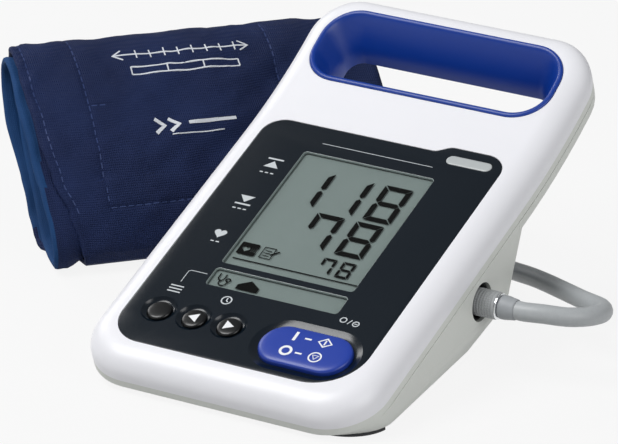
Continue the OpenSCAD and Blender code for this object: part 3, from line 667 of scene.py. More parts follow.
# Keys and lamp: growth of the outline, or radius, and depth, from the hidden flange up to the crown
keys = {
    "wide": [(1.4, 3.4), (1.4, 2.2), (0, 2.2), (0, 0.1), (-0.12, -0.3), (-0.45, -0.66), (-0.95, -0.9),
             (-1.9, -1.1), (-3.2, -1.22), (-4.8, -1.29), (-6.4, -1.32)],
    "round": [(6.2, 3.4), (6.2, 2.2), (4.8, 2.2), (4.8, 1.0), (4.74, 0.72), (4.56, 0.44), (4.28, 0.26),
              (3.7, 0.14), (2.6, 0.03), (1.3, -0.03)],
    "lamp": [(0, 2.6), (0, 0.05), (-0.12, -0.1), (-0.45, -0.2), (-1.1, -0.26), (-1.9, -0.28)],
}


def makeKeys():
    mesh = profileMesh("startKey", lambda g: stadiumOutline(*panel["start"], g=g), keys["wide"])
    newPiece("startKeyPiece", finishMesh(mesh, angle=40), "blueKeyAbs", "key_blue", "start_stop_key",
             body="start_stop_key")
    for (u, v), node in zip(panel["keys"], ("mode_key", "back_key", "next_key")):
        mesh = profileMesh(node, lambda r: circleOutline(u, v, r), keys["round"])
        newPiece(node + "Piece", finishMesh(mesh, angle=40), "blackKeyRubber", "panel_black", node, body=node)


makeKeys()
print("keys made")

# Signs of the display: gaps between segments as a share of their stroke, and a shift of all signs
digits = {
    "gap": 0.3 / 2.25, "shift": (1.66, -2.17),
    "segments": {"0": "abcdef", "1": "bc", "7": "abcf", "8": "abcdefg"},
    # text, right edge, lower edge, width, height, pitch and stroke
    "rows": [("118", 21.8, 102.6, 12.1, 20.4, 17.0, 2.25), ("78", 20.6, 81.4, 12.0, 19.4, 17.0, 2.25),
             ("78", 20.6, 69.8, 5.7, 8.7, 8.2, 1.1)],
}
# Dark tile with a heart and three waves left open: place, size, and the open shapes from its middle
tile = {"at": (-24.5, 73.9), "size": (7.8, 6.6, 0.7), "heart": (-0.9, -0.1, 3.4), "waves": (1.1, 2.0, 2.9)}


def digitShapes(char, right, low, w, h, stroke):
    # seven segments with mitred ends, square at the outer corners
    k, g = stroke / 2, digits["gap"] * stroke
    x0, x1, y0, y1, ym = right - w, right, low, low + h, low + h / 2
    xa, xb = x0 + stroke + g, x1 - stroke - g
    bars = {"a": [(x0 + g, y1), (x1 - g, y1), (xb, y1 - stroke), (xa, y1 - stroke)],
            "d": [(x0 + g, y0), (xa, y0 + stroke), (xb, y0 + stroke), (x1 - g, y0)],
            "g": [(x0 + k + g, ym), (xa, ym + k), (xb, ym + k), (x1 - k - g, ym), (xb, ym - k), (xa, ym - k)]}
    for part, x, side in (("f", x0, 1), ("b", x1, -1), ("e", x0, 1), ("c", x1, -1)):
        end, way = (y1, 1) if part in "fb" else (y0, -1)
        inner, near = x + side * stroke, ym + (k + g) * way
        bars[part] = [(x, end - g * way), (inner, end - (stroke + g) * way), (inner, near),
                      (x + side * k, ym + g * way), (x, near)]
    return [fill(bars[part]) for part in digits["segments"][char]]


def circle(u, v, r, width, n=36):
    turns = [2 * math.pi * i / n for i in range(n)]
    return line([(u + r * math.cos(a), v + r * math.sin(a)) for a in turns], width, True)


def heart(u, v, size, n=28):
    points = []
    for a in (2 * math.pi * i / n for i in range(n)):
        x = 16 * math.sin(a) ** 3
        y = 13 * math.cos(a) - 5 * math.cos(2 * a) - 2 * math.cos(3 * a) - math.cos(4 * a)
        points.append((u + size * x / 32, v + size * y / 32))
    return points


def displayShapes():
    out = []
    for text, right, low, w, h, pitch, stroke in digits["rows"]:
        for i, char in enumerate(reversed(text)):
            out += digitShapes(char, right - i * pitch, low, w, h, stroke)
    # rule over the pulse row
    out.append(line([(-28.0, 67.8), (26.2, 67.8)], 0.5))
    # a page with a pen: a reading is noted
    out.append(line([(-18.4, 71.0), (-13.6, 71.0), (-13.6, 76.9), (-18.4, 76.9)], 0.35, True))
    out += [line([(-17.4, y), (-14.8, y)], 0.35) for y in (72.4, 73.8, 75.2)]
    out.append(line([(-14.6, 73.2), (-11.6, 75.9)], 0.7))
    # pentagon tab and a listening tube on the strip
    out.append(fill([(-18.4, 52.4), (-9.2, 52.4), (-9.2, 54.9), (-13.8, 57.9), (-18.4, 54.9)]))
    out.append(line([(-27.6, 58.4), (-27.6, 56.0), (-26.8, 54.8), (-25.8, 54.8), (-25.0, 56.0),
                     (-25.0, 58.4)], 0.5))
    out.append(line([(-26.3, 54.8), (-26.3, 53.2), (-25.4, 52.3), (-24.0, 52.3), (-23.1, 53.3),
                     (-23.1, 54.6)], 0.5))
    out.append(circle(-23.1, 55.6, 0.9, 0.5, 20))
    du, dv = digits["shift"]
    return [([(u + du, v + dv) for u, v in points], width, closed) for points, width, closed in out]


def heartTile():
    u, v = (a + b for a, b in zip(tile["at"], digits["shift"]))
    w, h, r = tile["size"]
    top, low = display["crystal"]
    du, dv, size = tile["heart"]
    cuts = [[fill(heart(u + du, v + dv, size))]]
    for dx in tile["waves"]:
        wave = [(u + dx + 0.5 * math.cos(a), v + 1.7 * math.sin(a)) for a in (-0.9, -0.45, 0, 0.45, 0.9)]
        cuts.append([line(wave, 0.32)])
    cutters = [plateMesh("tileCut", shapes, top - 0.2, top + 0.3) for shapes in cuts]
    return carve(slabMesh("displayHeartTile", boxOutline(u, v, w, h, r=r), top, low), cutters)


# Printed layers: their upper and lower depth
inks = {"face": (-0.03, 0.02), "wideKey": (-1.36, -1.0), "roundKey": (-0.08, 0.3)}


def dash(u, v):
    return line([(u, v), (u + 1.4, v)], 0.6)


def facePrint():
    # marks beside the three readings
    out = []
    for v, s in ((118.0, 1), (96.0, -1)):
        out.append(fill([(-40.4, v - 2.2 * s), (-37.2, v + 1.5 * s), (-34.0, v - 2.2 * s)]))
        out.append(line([(-40.6, v + 2.7 * s), (-33.8, v + 2.7 * s)], 0.8))
        out += [dash(u, v - 5.4) for u in (-40.2, -37.9, -35.6)]
    out += [fill(heart(-37.2, 75.6, 5.2)), dash(-38.9, 70.9), dash(-36.6, 70.9)]
    # leader line to the strip window, the menu's bars and a clock over the round keys
    out.append(line([(-30.4, 53.3), (-37.4, 53.3), (-38.2, 52.5), (-38.2, 46.4)], 0.28))
    out += [line([(-41.0, v), (-35.4, v)], 0.6) for v in (43.9, 42.3, 40.7)]
    out += [circle(-15.8, 42.4, 2.0, 0.55), line([(-15.8, 43.6), (-15.8, 42.3), (-14.9, 41.6)], 0.5)]
    # open and barred ring over the wide key, and the fine line over the display
    out += [circle(32.6, 46.3, 1.25, 0.45), line([(34.9, 44.7), (36.0, 47.2)], 0.4)]
    out += [circle(38.2, 45.6, 1.25, 0.45), line([(37.5, 45.6), (38.9, 45.6)], 0.4)]
    out.append(line([(-24.0, 134.6), (24.6, 134.6)], 0.28))
    return out


def startPrint():
    # start and stop as plain signs: a bar with a diamond, a ring with a circled triangle
    out = [line([(20.4, 29.3), (20.4, 34.0)], 1.15)]
    out.append(line([(30.2, 31.6), (33.0, 29.4), (35.8, 31.6), (33.0, 33.9)], 0.6, True))
    out.append(line([(33.0, 30.4), (33.0, 32.9)], 0.6))
    out += [circle(20.4, 23.6, 2.1, 1.05), circle(32.8, 23.6, 2.4, 0.6)]
    out.append(line([(31.5, 24.5), (34.1, 24.5), (32.8, 22.4)], 0.5, True))
    out += [line([(24.4, v), (27.2, v)], 0.8) for v in (31.6, 23.6)]
    return out


def makePrints():
    mesh = plateMesh("displayDigits", displayShapes(), *display["crystal"])
    newPiece("displayDigits", mesh, "darkLiquidCrystal", "lcd")
    newPiece("displayHeartTile", heartTile(), "darkLiquidCrystal", "lcd")
    mesh = plateMesh("facePrinting", facePrint(), *inks["face"])
    newPiece("facePrinting", mesh, "paleScreenInk", "panel_black")
    mesh = plateMesh("startKeyPrinting", startPrint(), *inks["wideKey"])
    newPiece("startKeyPrinting", mesh, "whiteKeyInk", "key_blue", body="start_stop_key")
    for node, (u, v), way in (("back_key", panel["keys"][1], -1), ("next_key", panel["keys"][2], 1)):
        arrow = fill([(u + 2.3 * way, v), (u - 1.6 * way, v + 2.3), (u - 1.6 * way, v - 2.3)])
        mesh = plateMesh(node + "Arrow", [arrow], *inks["roundKey"])
        newPiece(node + "Arrow", mesh, "whiteKeyInk", "panel_black", body=node)


makePrints()
print("printing made")


def makeLamp():
    mesh = profileMesh("lamp", lambda g: stadiumOutline(*panel["lamp"], g=g), keys["lamp"])
    newPiece("lampPiece", finishMesh(mesh, angle=40), "milkyPolycarbonate", "lamp_clear", "pulse_lamp")


makeLamp()

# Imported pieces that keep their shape: finish, slot and how much their edges are rounded, in mm
dressed = {
    "rear_cover": ("greyAbs", "grey_shell", 0.0), "battery_cover": ("greyAbs", "grey_shell", 0.25),
    "key_mat": ("footRubber", "mat_rubber", 0.2), "lcd_frame": ("collarNylon", "inner_white", 0.2),
    "main_board": ("greenBoardLaminate", "board", 0.1), "pressure_sensor": ("darkNylon", "dark_parts", 0.2),
    "buzzer": ("darkNylon", "dark_parts", 0.3), "pump_cradle": ("darkNylon", "dark_parts", 0.3),
    "exhaust_valve": ("darkNylon", "dark_parts", 0.3), "power_jack": ("darkNylon", "dark_parts", 0.2),
    # the air socket wears the dark foot rubber in place of the shell's grey: a painted shadow for the gap
    # round the plug's collar
    "cuff_port": ("darkNylon", "dark_parts", 0.4), "air_socket": ("footRubber", "grey_shell", 0.2),
    "socket_ring": ("footRubber", "foot_rubber", 0.2), "front_feet": ("footRubber", "foot_rubber", 0.2),
    "rear_feet": ("footRubber", "foot_rubber", 0.2), "middle_foot": ("footRubber", "foot_rubber", 0.2),
    "plug_body": ("pvcHose", "hose_grey", 0.0), "leak_valve": ("collarNylon", "inner_white", 0.2),
    "air_lines": ("siliconeTube", "clear_tube", 0.0), "battery_pack": ("batteryShrinkWrap", "battery", 0.4),
    "board_screws": ("zincPlatedSteel", "steel", 0.1), "case_screws": ("zincPlatedSteel", "steel", 0.1),
    "pump": ("zincPlatedSteel", "steel", 0.1), "battery_contacts": ("platedBrass", "contact", 0.1),
}


def dressNode(name, look, slotName, bevel):
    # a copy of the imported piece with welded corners, softened edges and its finish
    mesh = finishMesh(nodes[name].data.copy(), bevel=bevel)
    if mesh.has_custom_normals:
        mesh.attributes.remove(mesh.attributes["custom_normal"])
    newPiece(name + "Piece", mesh, look, slotName, name, body=nodes[name]["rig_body"])


for name, values in dressed.items():
    dressNode(name, *values)
print("packed pieces dressed")

# Hose plug, turned about the socket's axis: distance out of the wall and radius, in mm
grips = [(z + dz, r) for z in (-1.0, 0.2, 1.4, 2.6, 3.8, 5.0)
         for dz, r in ((0, 5.42), (0.5, 5.42), (0.62, 5.2), (1.08, 5.2))]
plug = {
    "collar": [(-3.6, 3.7), (-3.6, 5.1), (-3.2, 5.35)] + grips
              + [(6.3, 5.42), (6.9, 5.35), (7.2, 5.1), (7.2, 3.7)],
    "ring": [(7.3, 3.7), (7.3, 4.95), (7.45, 5.15), (7.95, 5.15), (8.1, 4.95), (8.1, 3.7)],
    "sleeve": [(8.3, 3.7), (8.3, 4.25), (8.6, 4.55), (9.2, 4.68), (10.6, 4.66), (11.8, 4.5), (12.8, 4.3),
               (13.9, 4.15), (14.6, 4.05), (14.8, 3.9), (14.8, 3.7)],
    "knurl": 0.16, "knurled": (-1.5, 6.5), "ribs": 36, "sides": 144,
}


def plugPoint(out, radius, a):
    y, z = hose["plugEnd"][1:]
    y, z = y + radius * math.cos(a), z + radius * math.sin(a)
    return (shell["width"] / 2 + out) * mm, y * mm, z * mm


def turnedMesh(name, profile, knurl):
    angles = [2 * math.pi * i / plug["sides"] for i in range(plug["sides"])]
    rings = []
    for out, radius in profile:
        deep = knurl if plug["knurled"][0] < out < plug["knurled"][1] else 0.0
        rings.append([plugPoint(out, radius - deep * max(0.0, math.cos(plug["ribs"] * a)), a)
                      for a in angles])
    return finishMesh(ringMesh(name, rings, "joined"), angle=40)


for part, look, slotName, knurl in (("collar", "collarNylon", "collar_grey", plug["knurl"]),
                                    ("ring", "chromedBrass", "bright_ring", 0.0),
                                    ("sleeve", "sleeveNylon", "sleeve_grey", 0.0)):
    node = "plug_" + part
    mesh = turnedMesh(node, plug[part], knurl)
    newPiece(node + "Piece", mesh, look, slotName, node, body=nodes[node]["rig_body"])
print("hose plug turned")


def makeClearPmma():
    # clear cast PMMA: thin, so light passes straight through and a little is mirrored
    mat, tree, shader = newMaterial("clearPmma")
    tree.nodes.remove(shader)
    clear = add(tree, "ShaderNodeBsdfTransparent", Color=srgb("#f4f7f6"))
    mirror = add(tree, "ShaderNodeBsdfGlossy", Roughness=0.12)
    edge = add(tree, "ShaderNodeFresnel", IOR=1.49)
    # only the side that faces the light mirrors it
    spot = add(tree, "ShaderNodeNewGeometry")
    front = add(tree, "ShaderNodeMath", {"operation": "SUBTRACT"}, i0=1.0, i1=spot.outputs["Backfacing"])
    share = add(tree, "ShaderNodeMath", {"operation": "MULTIPLY"}, i0=edge.outputs[0], i1=front.outputs[0])
    blend = add(tree, "ShaderNodeMixShader", i0=share.outputs[0], i1=clear.outputs[0], i2=mirror.outputs[0])
    setInputs(tree.nodes["Material Output"], i0=blend.outputs[0])
    return mat


def makeCrystalField():
    # reflective liquid crystal, undriven: a matt grey-green field with a faint haze, one patch to 22 mm
    mat, tree, shader = newMaterial("liquidCrystalGlass")
    spot = add(tree, "ShaderNodeTexCoord").outputs["Object"]
    haze = add(tree, "ShaderNodeTexNoise", Vector=spot, Scale=0.045 / mm, Detail=2.0)
    tone = add(tree, "ShaderNodeMix", {"data_type": "RGBA"}, Factor=haze.outputs["Fac"],
               i6=srgb("#8c9494"), i7=srgb("#949c9c"))
    setInputs(shader, Roughness=0.55, IOR=1.52, Base_Color=tone.outputs[2])
    return mat


def makeDisplay():
    # the digits lie above the pale layer and throw a soft shadow on it
    finish["clearPmma"] = makeClearPmma()
    clear = [fill(outline) for outline in windowOutlines(-display["clearInset"])]
    mesh = plateMesh("windowPlates", clear, *display["clear"])
    newPiece("windowPlates", mesh, "clearPmma", "clear_window", "display_window")
    lo, hi = panel["strip"][0] - 1, panel["window"][1] + 1
    body = slabMesh("reflector", boxOutline(0, (lo + hi) / 2, display["reflectorWidth"], hi - lo, r=0.6),
                    *display["reflector"])
    fields = [slabMesh("field", o, *display["field"]) for o in windowOutlines(-display["fieldInset"])]
    finish["liquidCrystalGlass"] = makeCrystalField()
    newPiece("displayReflector", carve(body, fields, "UNION"), "liquidCrystalGlass", "lcd", "lcd_glass")


makeDisplay()
makeHose()
print("display filled and hose laid")

# Rolled cuff: one padded length of cloth wound into a flattened roll, in mm and in turns from its outer end
cuff = {
    "long": 50.5, "short": 19.0, "lean": 46.0, "middle": 36.0, "turns": 2.6, "pitch": 3.4, "thick": 2.7,
    "power": 0.85, "lowered": 1.2, "lift": 0.2, "settle": (0.013, 121),
    "step": 0.004, "across": 2.6, "along": 2.3, "ridge": 0.3, "reach": 20,
    # where the left and right edges lie: the flap is cut askew
    "leftEdge": [(0.0, 9), (0.15, 5), (0.22, 3.4), (0.3, 1.0), (0.42, 0.2), (0.49, 1.2), (0.54, 3.6),
                 (0.6, 8.4), (0.655, 11), (0.73, 13.2), (0.79, 12), (0.86, 3), (0.9, 0.4), (1.0, 0.6),
                 (1.08, -1.0), (1.18, -0.5), (1.35, -1.6), (1.44, -2.9), (1.5, -2.4), (1.57, -1.4),
                 (1.62, -0.4), (1.75, 0.4), (2.0, 3), (2.3, 5), (2.6, 6)],
    "rightEdge": [(0.0, 146), (0.25, 150), (0.5, 148.5), (0.75, 147), (1.0, 149), (1.5, 151), (2.6, 146)],
    # near its left edge the second turn sags away from the first
    "sag": [(1.5, 0), (1.66, 1), (1.8, 1), (1.95, 0)], "sagWidth": (14, 8),
    # places out from each side edge and shares of the thickness: three points round it off
    "edge": [(-0.1, 0.12), (0.4, 0.5), (-0.1, 0.88)],
    # near the table the folds keep a share of their height, and the cloth stays above a least height
    "flat": (0.35, 4), "least": (0.15, 0.9),
    # the lining folds round the left edge of the second turn
    "binding": 5.0, "bound": (1.16, 0.42), "linedFrom": 0.92,
}
# Sewn channels: place across with first and last turn, then the turns of those that run across
seams = {
    "left": (24.5, 0.31, 0.592), "right": (107.0, 0.31, 0.592), "low": 0.592, "slit": (0.462, 25.0, 33.0),
    "hem": 3.4, "hemShare": 0.8, "slitShare": 1.6, "depth": 0.55, "width": 1.1,
    "runIn": 0.03, "lastTurn": 1.05,
    # closer stations round each channel and beside the hem, and how far the even ones keep away
    "near": (-1.8, -1.1, -0.55, 0.0, 0.55, 1.1, 1.8), "clear": 2.3, "besideHem": [1.2, 3.4, 4.4],
    "nearAlong": (-1.6, -0.9, -0.4, 0.0, 0.4, 0.9, 1.6), "clearAlong": 2.1,
}
# Folds: broad wrinkles, then slanting creases, each with its share and two directions with their sizes
folds = {
    "wrinkle": 0.9, "wrinkleSize": (34, 21), "wrinkleRise": 0.3, "crease": 0.95, "innerShare": 0.35,
    "sharp": 2.6, "puff": (0.35, 12), "layerStep": 7.3,
    "creases": [(1.0, (0.55, 0.85, 11), (-1, 0.4, 40), 3.1), (0.55, (0.9, -0.45, 9), (0.4, 1, 30), 8.4)],
    "ripple": (0.12, 5, 6, 9.2),
}


def tableAt(table, t):
    # a soft curve through a table of (turn, value)
    for (t0, v0), (t1, v1) in zip(table, table[1:]):
        if t <= t1:
            k = max(0.0, (t - t0) / (t1 - t0))
            k = k * k * (3 - 2 * k)
            return v0 + (v1 - v0) * k
    return table[-1][1]


def rollPoint(t, d):
    # the roll's section at a turn, d in from its outside
    a, lean = math.radians(t * 360 - 90), math.radians(cuff["lean"])
    x = (cuff["long"] - d) * math.copysign(abs(math.cos(a)) ** cuff["power"], math.cos(a))
    y = (cuff["short"] - d) * math.copysign(abs(math.sin(a)) ** cuff["power"], math.sin(a))
    mid = cuff["long"] * math.sin(lean) - cuff["lowered"]
    return (cuff["middle"] + x * math.cos(lean) - y * math.sin(lean),
            max(d + cuff["lift"], mid + x * math.sin(lean) + y * math.cos(lean)))


def lengthTable():
    # turn and length of cloth, every step from the outer end
    step = cuff["step"]
    out, w, last = [(0.0, 0.0)], 0.0, rollPoint(0, 0)
    for i in range(1, int(cuff["turns"] / step) + 1):
        here = rollPoint(i * step, i * step * cuff["pitch"])
        w += math.hypot(here[0] - last[0], here[1] - last[1])
        last = here
        out.append((i * step, w))
    return out


alongCloth = lengthTable()


def lengthAt(t):
    i = min(len(alongCloth) - 2, int(t / cuff["step"]))
    (t0, w0), (t1, w1) = alongCloth[i], alongCloth[i + 1]
    return w0 + (w1 - w0) * (t - t0) / (t1 - t0)


def turnAt(w):
    for (t0, w0), (t1, w1) in zip(alongCloth, alongCloth[1:]):
        if w <= w1:
            return t0 + (t1 - t0) * (w - w0) / (w1 - w0)
    return cuff["turns"]


ridge = lengthAt(cuff["ridge"])
lowSeam, slitSeam = lengthAt(seams["low"]), lengthAt(seams["slit"][0])


def channel(distance):
    return seams["depth"] * math.exp(-(distance / seams["width"]) ** 2)


def swell(t, a, w):
    # how far the cloth stands out of the plain roll: wrinkles, creases, pillow and sewn channels
    layer = math.floor(t + 0.45)
    across, along = folds["wrinkleSize"]
    spot = Vector((a / across, w / along, layer * folds["layerStep"]))
    out = folds["wrinkle"] * (noise.noise(spot) + folds["wrinkleRise"])
    high = folds["crease"] * (1.0 if t < 1.0 else folds["innerShare"])
    for share, (p, q, size), (r, s, run), seed in folds["creases"]:
        spot = Vector(((a * p + w * q) / size, (a * r + w * s) / run, seed + layer))
        out += high * share * (1 - folds["sharp"] * abs(noise.noise(spot)))
    ripple, across, along, seed = folds["ripple"]
    out += ripple * noise.noise(Vector((a / across, w / along, seed)))
    left = tableAt(cuff["leftEdge"], t)
    dip = channel(a - left - seams["hem"]) * seams["hemShare"]
    if t < seams["lastTurn"]:
        for a0, t0, t1 in (seams["left"], seams["right"]):
            if t0 - seams["runIn"] < t < t1:
                dip = max(dip, channel(a - a0))
        if a > seams["left"][0]:
            dip = max(dip, channel(w - lowSeam))
        if seams["slit"][1] < a < seams["slit"][2]:
            dip = max(dip, channel((w - slitSeam) * seams["slitShare"]))
    puff, margin = folds["puff"]
    return out + puff * min(1.0, max(0.0, (a - left) / margin)) - dip


def clothAt(t, a, inward, w):
    # a point of the cloth at a turn and across it, inward from its outer face, in metres
    reach, fade = cuff["sagWidth"]
    sag = cuff["pitch"] * tableAt(cuff["sag"], t) * min(1, max(0, (reach - a) / fade))
    d = t * cuff["pitch"] - sag
    b, z0 = rollPoint(t, d + inward)
    b2, z2 = rollPoint(t + cuff["step"], d + inward)
    size = math.hypot(b2 - b, z2 - z0) or 1
    kept, height = cuff["flat"]
    out = swell(t, a, w) * (kept if z0 < height + d else 1.0) / size
    least, rise = cuff["least"]
    share, over = cuff["settle"]
    z = max(least + (d + inward) * rise, z0 - (b2 - b) * out)
    return onCuff(a, b + (z2 - z0) * out, z * (1 - share * a / over)) * mm


def stations(q, marks, near, clear):
    # even stations, with closer ones round each mark
    q = [x for x in q if all(abs(x - m) > clear for m in marks)]
    return sorted(q + [m + n for m in marks for n in near])


def makeCuff():
    count = int(cuffPlace["width"] / cuff["across"])
    across = stations([i * cuff["across"] for i in range(1, count)] + seams["besideHem"],
                      [seams["left"][0], seams["right"][0]], seams["near"], seams["clear"])
    count = int(alongCloth[-1][1] / cuff["along"]) + 1
    along = stations([i * cuff["along"] for i in range(count)], [lowSeam, slitSeam],
                     seams["nearAlong"], seams["clearAlong"])
    thick, n, reach = cuff["thick"], len(across), cuff["reach"]
    far = cuffPlace["width"] - reach
    rings, lined = [], []
    for w in along:
        t = turnAt(w)
        left, right = tableAt(cuff["leftEdge"], t), tableAt(cuff["rightEdge"], t)
        spots = [left + q * (reach - left) / reach if q < reach
                 else q if q < far else far + (q - far) / reach * (right - far) for q in across]
        # outer face, right edge, inner face and left edge
        ring = [clothAt(t, a, 0, w) for a in spots]
        ring += [clothAt(t, right + out, thick * share, w) for out, share in cuff["edge"]]
        ring += [clothAt(t, a, thick, w) for a in reversed(spots)]
        ring += [clothAt(t, left - out, thick * share, w) for out, share in reversed(cuff["edge"])]
        rings.append(ring)
        # the inner face is lining, which folds round the edges of the inner turns
        first, span = cuff["bound"]
        bound = cuff["binding"] * math.sin(math.pi * min(1.0, max(0.0, (t - first) / span)))
        for i in range(len(ring)):
            inner = n + 3 <= i < 2 * n + 2 or t > cuff["linedFrom"] and i >= n
            lined.append(inner or i < n and across[i] < bound)
    mesh = ringMesh("cuffCloth", rings)
    obj = newPiece("cuffCloth", mesh, "navyCuffNylon", "cuff_cloth", "cuff_roll")
    mesh.materials.append(finish["blueCuffLining"])
    for polygon, inner in zip(mesh.polygons, lined[:-len(rings[0])]):
        polygon.material_index = int(inner)
    mesh.polygons.foreach_set("use_smooth", [True] * len(mesh.polygons))


# Rubber bag inside the cloth: places across, turns from its outer end and depths below the outer face
bladder = {"across": range(16, 137, 6), "first": 0.31, "turns": 0.88, "steps": 60, "faces": (1.0, 1.7)}


def makeBladder():
    rings = []
    outer, inner = bladder["faces"]
    for i in range(bladder["steps"] + 1):
        t = bladder["first"] + bladder["turns"] * i / bladder["steps"]
        w = lengthAt(t)
        rings.append([clothAt(t, a, outer, w) for a in bladder["across"]]
                     + [clothAt(t, a, inner, w) for a in reversed(bladder["across"])])
    mesh = ringMesh("cuffBladder", rings)
    mesh.polygons.foreach_set("use_smooth", [True] * len(mesh.polygons))
    obj = newPiece("cuffBladderPiece", mesh, "footRubber", "bladder", "cuff_bladder")


def makeCloth(name, light, dark, roughness, thread, depth):
    # plain woven nylon: matt, with a thread grid that is coarser than the real 0.2 mm so that it shows
    mat, tree, shader = newMaterial(name)
    spot = add(tree, "ShaderNodeTexCoord").outputs["Object"]
    turn = -math.radians(cuffPlace["direction"])
    turned = add(tree, "ShaderNodeMapping", Vector=spot, Rotation=(0, 0, turn)).outputs[0]
    # at scale 1 the wave texture has 20 bands in 2 pi metres
    scale = 2 * math.pi / (20 * thread * mm)
    warp, weft = [add(tree, "ShaderNodeTexWave", {"bands_direction": way}, Vector=turned, Scale=scale)
                  for way in "XZ"]
    grid = add(tree, "ShaderNodeMath", {"operation": "MULTIPLY"},
               i0=warp.outputs["Fac"], i1=weft.outputs["Fac"])
    # wear in patches of 26 mm, and creases of 18 mm
    worn = add(tree, "ShaderNodeTexNoise", Vector=spot, Scale=0.038 / mm, Detail=5.0)
    both = add(tree, "ShaderNodeMath", {"operation": "MULTIPLY_ADD"}, i0=grid.outputs[0], i1=0.22,
               i2=worn.outputs["Fac"])
    tone = add(tree, "ShaderNodeMix", {"data_type": "RGBA"}, Factor=both.outputs[0],
               i6=srgb(dark), i7=srgb(light))
    crease = add(tree, "ShaderNodeTexNoise", Vector=spot, Scale=0.055 / mm, Detail=6.0)
    height = add(tree, "ShaderNodeMath", {"operation": "MULTIPLY_ADD"}, i0=crease.outputs["Fac"], i1=5.0,
                 i2=grid.outputs[0])
    bump = add(tree, "ShaderNodeBump", Height=height.outputs[0], Strength=depth, Distance=0.7 * mm)
    # threads shade each other, so the cloth keeps only a part of its gloss
    setInputs(shader, Roughness=roughness, IOR=1.53, Specular_IOR_Level=0.22, Base_Color=tone.outputs[2],
              Normal=bump.outputs[0])
    return mat


finish["navyCuffNylon"] = makeCloth("navyCuffNylon", "#192b58", "#0d183a", 0.7, 0.8, 0.6)
finish["blueCuffLining"] = makeCloth("blueCuffLining", "#1a477c", "#103057", 0.75, 0.7, 0.3)
makeCuff()
makeBladder()
print("cuff rolled")


def stripMesh(name, paths, width, lift, sink=0.2, step=1.4):
    # narrow strips on the outer face of the cuff, drawn in mm across it and down from its ridge
    bm = bmesh.new()
    for path in paths:
        points = []
        for (a0, w0), (a1, w1) in zip(path, path[1:]):
            k = max(1, int(math.hypot(a1 - a0, w1 - w0) / step))
            points += [(a0 + (a1 - a0) * i / k, w0 + (w1 - w0) * i / k) for i in range(k)]
        left, right = offsetPath(points + [path[-1]], width, False)
        addBar(bm, [[bm.verts.new(clothAt(turnAt(ridge + w), a, inward, ridge + w)) for a, w in side]
                    for inward in (-lift, sink) for side in (left, right)])
    return meshFrom(bm, name)


# Stitches, in mm: their lengths, then where the hem's row and the lower row run
stitch = {
    "length": 2.3, "gap": 1.2, "start": 0.6, "width": 0.42, "lift": 0.16,
    "hem": range(-6, 84, 3), "right": 140,
}


def stitchRow(path):
    # short stitches along a path
    parts = [math.hypot(b[0] - a[0], b[1] - a[1]) for a, b in zip(path, path[1:])]

    def at(s):
        for a, b, part in zip(path, path[1:], parts):
            if s <= part:
                return (a[0] + (b[0] - a[0]) * s / part, a[1] + (b[1] - a[1]) * s / part)
            s -= part
        return path[-1]

    out, s = [], stitch["start"]
    while s + stitch["length"] < sum(parts):
        out.append([at(s), at(s + stitch["length"])])
        s += stitch["length"] + stitch["gap"]
    return out


def makeStitches():
    hem = [(tableAt(cuff["leftEdge"], turnAt(ridge + w)) + seams["hem"], w) for w in stitch["hem"]]
    left, right, low, slit = seams["left"][0], seams["right"][0], lowSeam - ridge, slitSeam - ridge
    paths = [hem, [(left, 0), (left, low)], [(right, 0), (right, low)], [(left, low), (stitch["right"], low)],
             [(seams["slit"][1], slit), (seams["slit"][2], slit)]]
    rows = [row for path in paths for row in stitchRow(path)]
    mesh = stripMesh("cuffStitches", rows, stitch["width"], stitch["lift"])
    newPiece("cuffStitches", mesh, "polyesterThread", "cuff_cloth")


# Print on the cuff, in mm: width of its fine and broad lines, and how far it stands out
cuffPrint = {"fine": 0.55, "broad": 1.5, "lift": 0.14}


def makeCuffPrint():
    # plain size scale in white: a two-way arrow with ticks, and a bar with chevrons below it
    thin = [[(40, 13), (98, 13)], [(44, 10.5), (40, 13), (44, 15.5)], [(94, 10.5), (98, 13), (94, 15.5)]]
    thin += [[(a, 11), (a, 15)] for a in range(50, 94, 6)]
    thin += [[(46, w), (92, w)] for w in (19.5, 23)] + [[(a, 19.5), (a, 23)] for a in (46, 92, 61.3, 76.7)]
    thin += [[(56, 51.5), (78, 51.5)]]
    bold = [[(a, 44), (a + 4, 47), (a, 50)] for a in (50, 56)] + [[(64, 47), (84, 47)]]
    for name, paths, width in (("cuffThinPrint", thin, "fine"), ("cuffBoldPrint", bold, "broad")):
        mesh = stripMesh(name, paths, cuffPrint[width], cuffPrint["lift"])
        newPiece(name, mesh, "whiteTextileInk", "cuff_cloth")


makeStitches()
makeCuffPrint()
print("cuff sewn and printed")

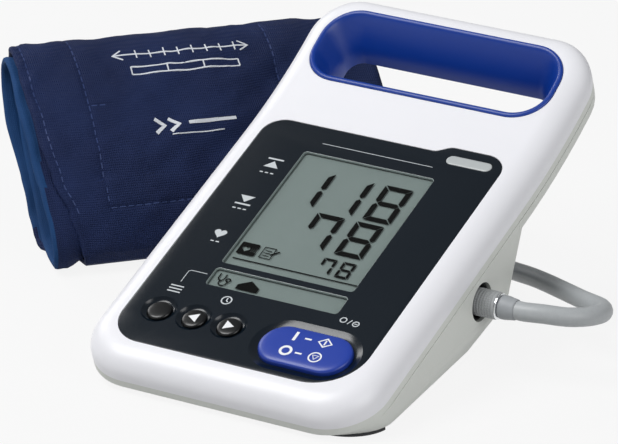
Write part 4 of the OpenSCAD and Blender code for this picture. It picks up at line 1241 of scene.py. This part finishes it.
# Floor and studio light: place and size in metres, power in watts
studio = {
    "floor": 6.0, "below": 0.2 * mm, "paper": "#bcbcbc", "whiteShare": 0.88,
    "world": 0.2, "aim": (0, 0.02, 0.04),
    "lamps": {"keyLight": ((-0.68, -0.62, 1.42), 1.1, 21.0), "fillLight": ((1.45, -0.4, 0.75), 1.2, 9.5),
              "rimLight": ((-1.35, 0.5, 0.85), 0.7, 4.5)},
}


def makeFloor():
    # matt white paper under the object
    half, z = studio["floor"], -studio["below"]
    mesh = bpy.data.meshes.new("studioFloor")
    corners = [(-half, -half, z), (half, -half, z), (half, half, z), (-half, half, z)]
    mesh.from_pydata(corners, [], [(0, 1, 2, 3)])
    floor = bpy.data.objects.new("studioFloor", mesh)
    scene.collection.objects.link(floor)
    mat, tree, shader = newMaterial("palePaper")
    setInputs(shader, Roughness=0.9, Base_Color=srgb(studio["paper"]))
    # the eye, metal and glass see the paper as white, with the object's shadow left in it
    paths = add(tree, "ShaderNodeLightPath")
    seen = paths.outputs["Is Camera Ray"]
    for kind in ("Is Glossy Ray", "Is Transmission Ray"):
        most = add(tree, "ShaderNodeMath", {"operation": "MAXIMUM"}, i0=seen, i1=paths.outputs[kind])
        seen = most.outputs[0]
    share = add(tree, "ShaderNodeMath", {"operation": "MULTIPLY"}, i0=seen, i1=studio["whiteShare"])
    white = add(tree, "ShaderNodeEmission", Strength=1.0)
    blend = add(tree, "ShaderNodeMixShader", i0=share.outputs[0], i1=shader.outputs[0], i2=white.outputs[0])
    setInputs(tree.nodes["Material Output"], i0=blend.outputs[0])
    mesh.materials.append(mat)


def makeLight():
    world = bpy.data.worlds.new("studio")
    scene.world = world
    world.use_nodes = True
    tree = world.node_tree
    tree.nodes.clear()
    light = add(tree, "ShaderNodeBackground", Strength=studio["world"], Color=(1, 1, 1, 1))
    add(tree, "ShaderNodeOutputWorld", i0=light.outputs[0])
    for name, (place, size, power) in studio["lamps"].items():
        data = bpy.data.lights.new(name, "AREA")
        data.shape = "DISK"
        data.size = size
        data.energy = power
        lamp = bpy.data.objects.new(name, data)
        scene.collection.objects.link(lamp)
        lamp.location = place
        lamp.rotation_euler = (Vector(studio["aim"]) - Vector(place)).to_track_quat("-Z", "Y").to_euler()


makeFloor()
makeLight()
scene.view_settings.view_transform = "Standard"
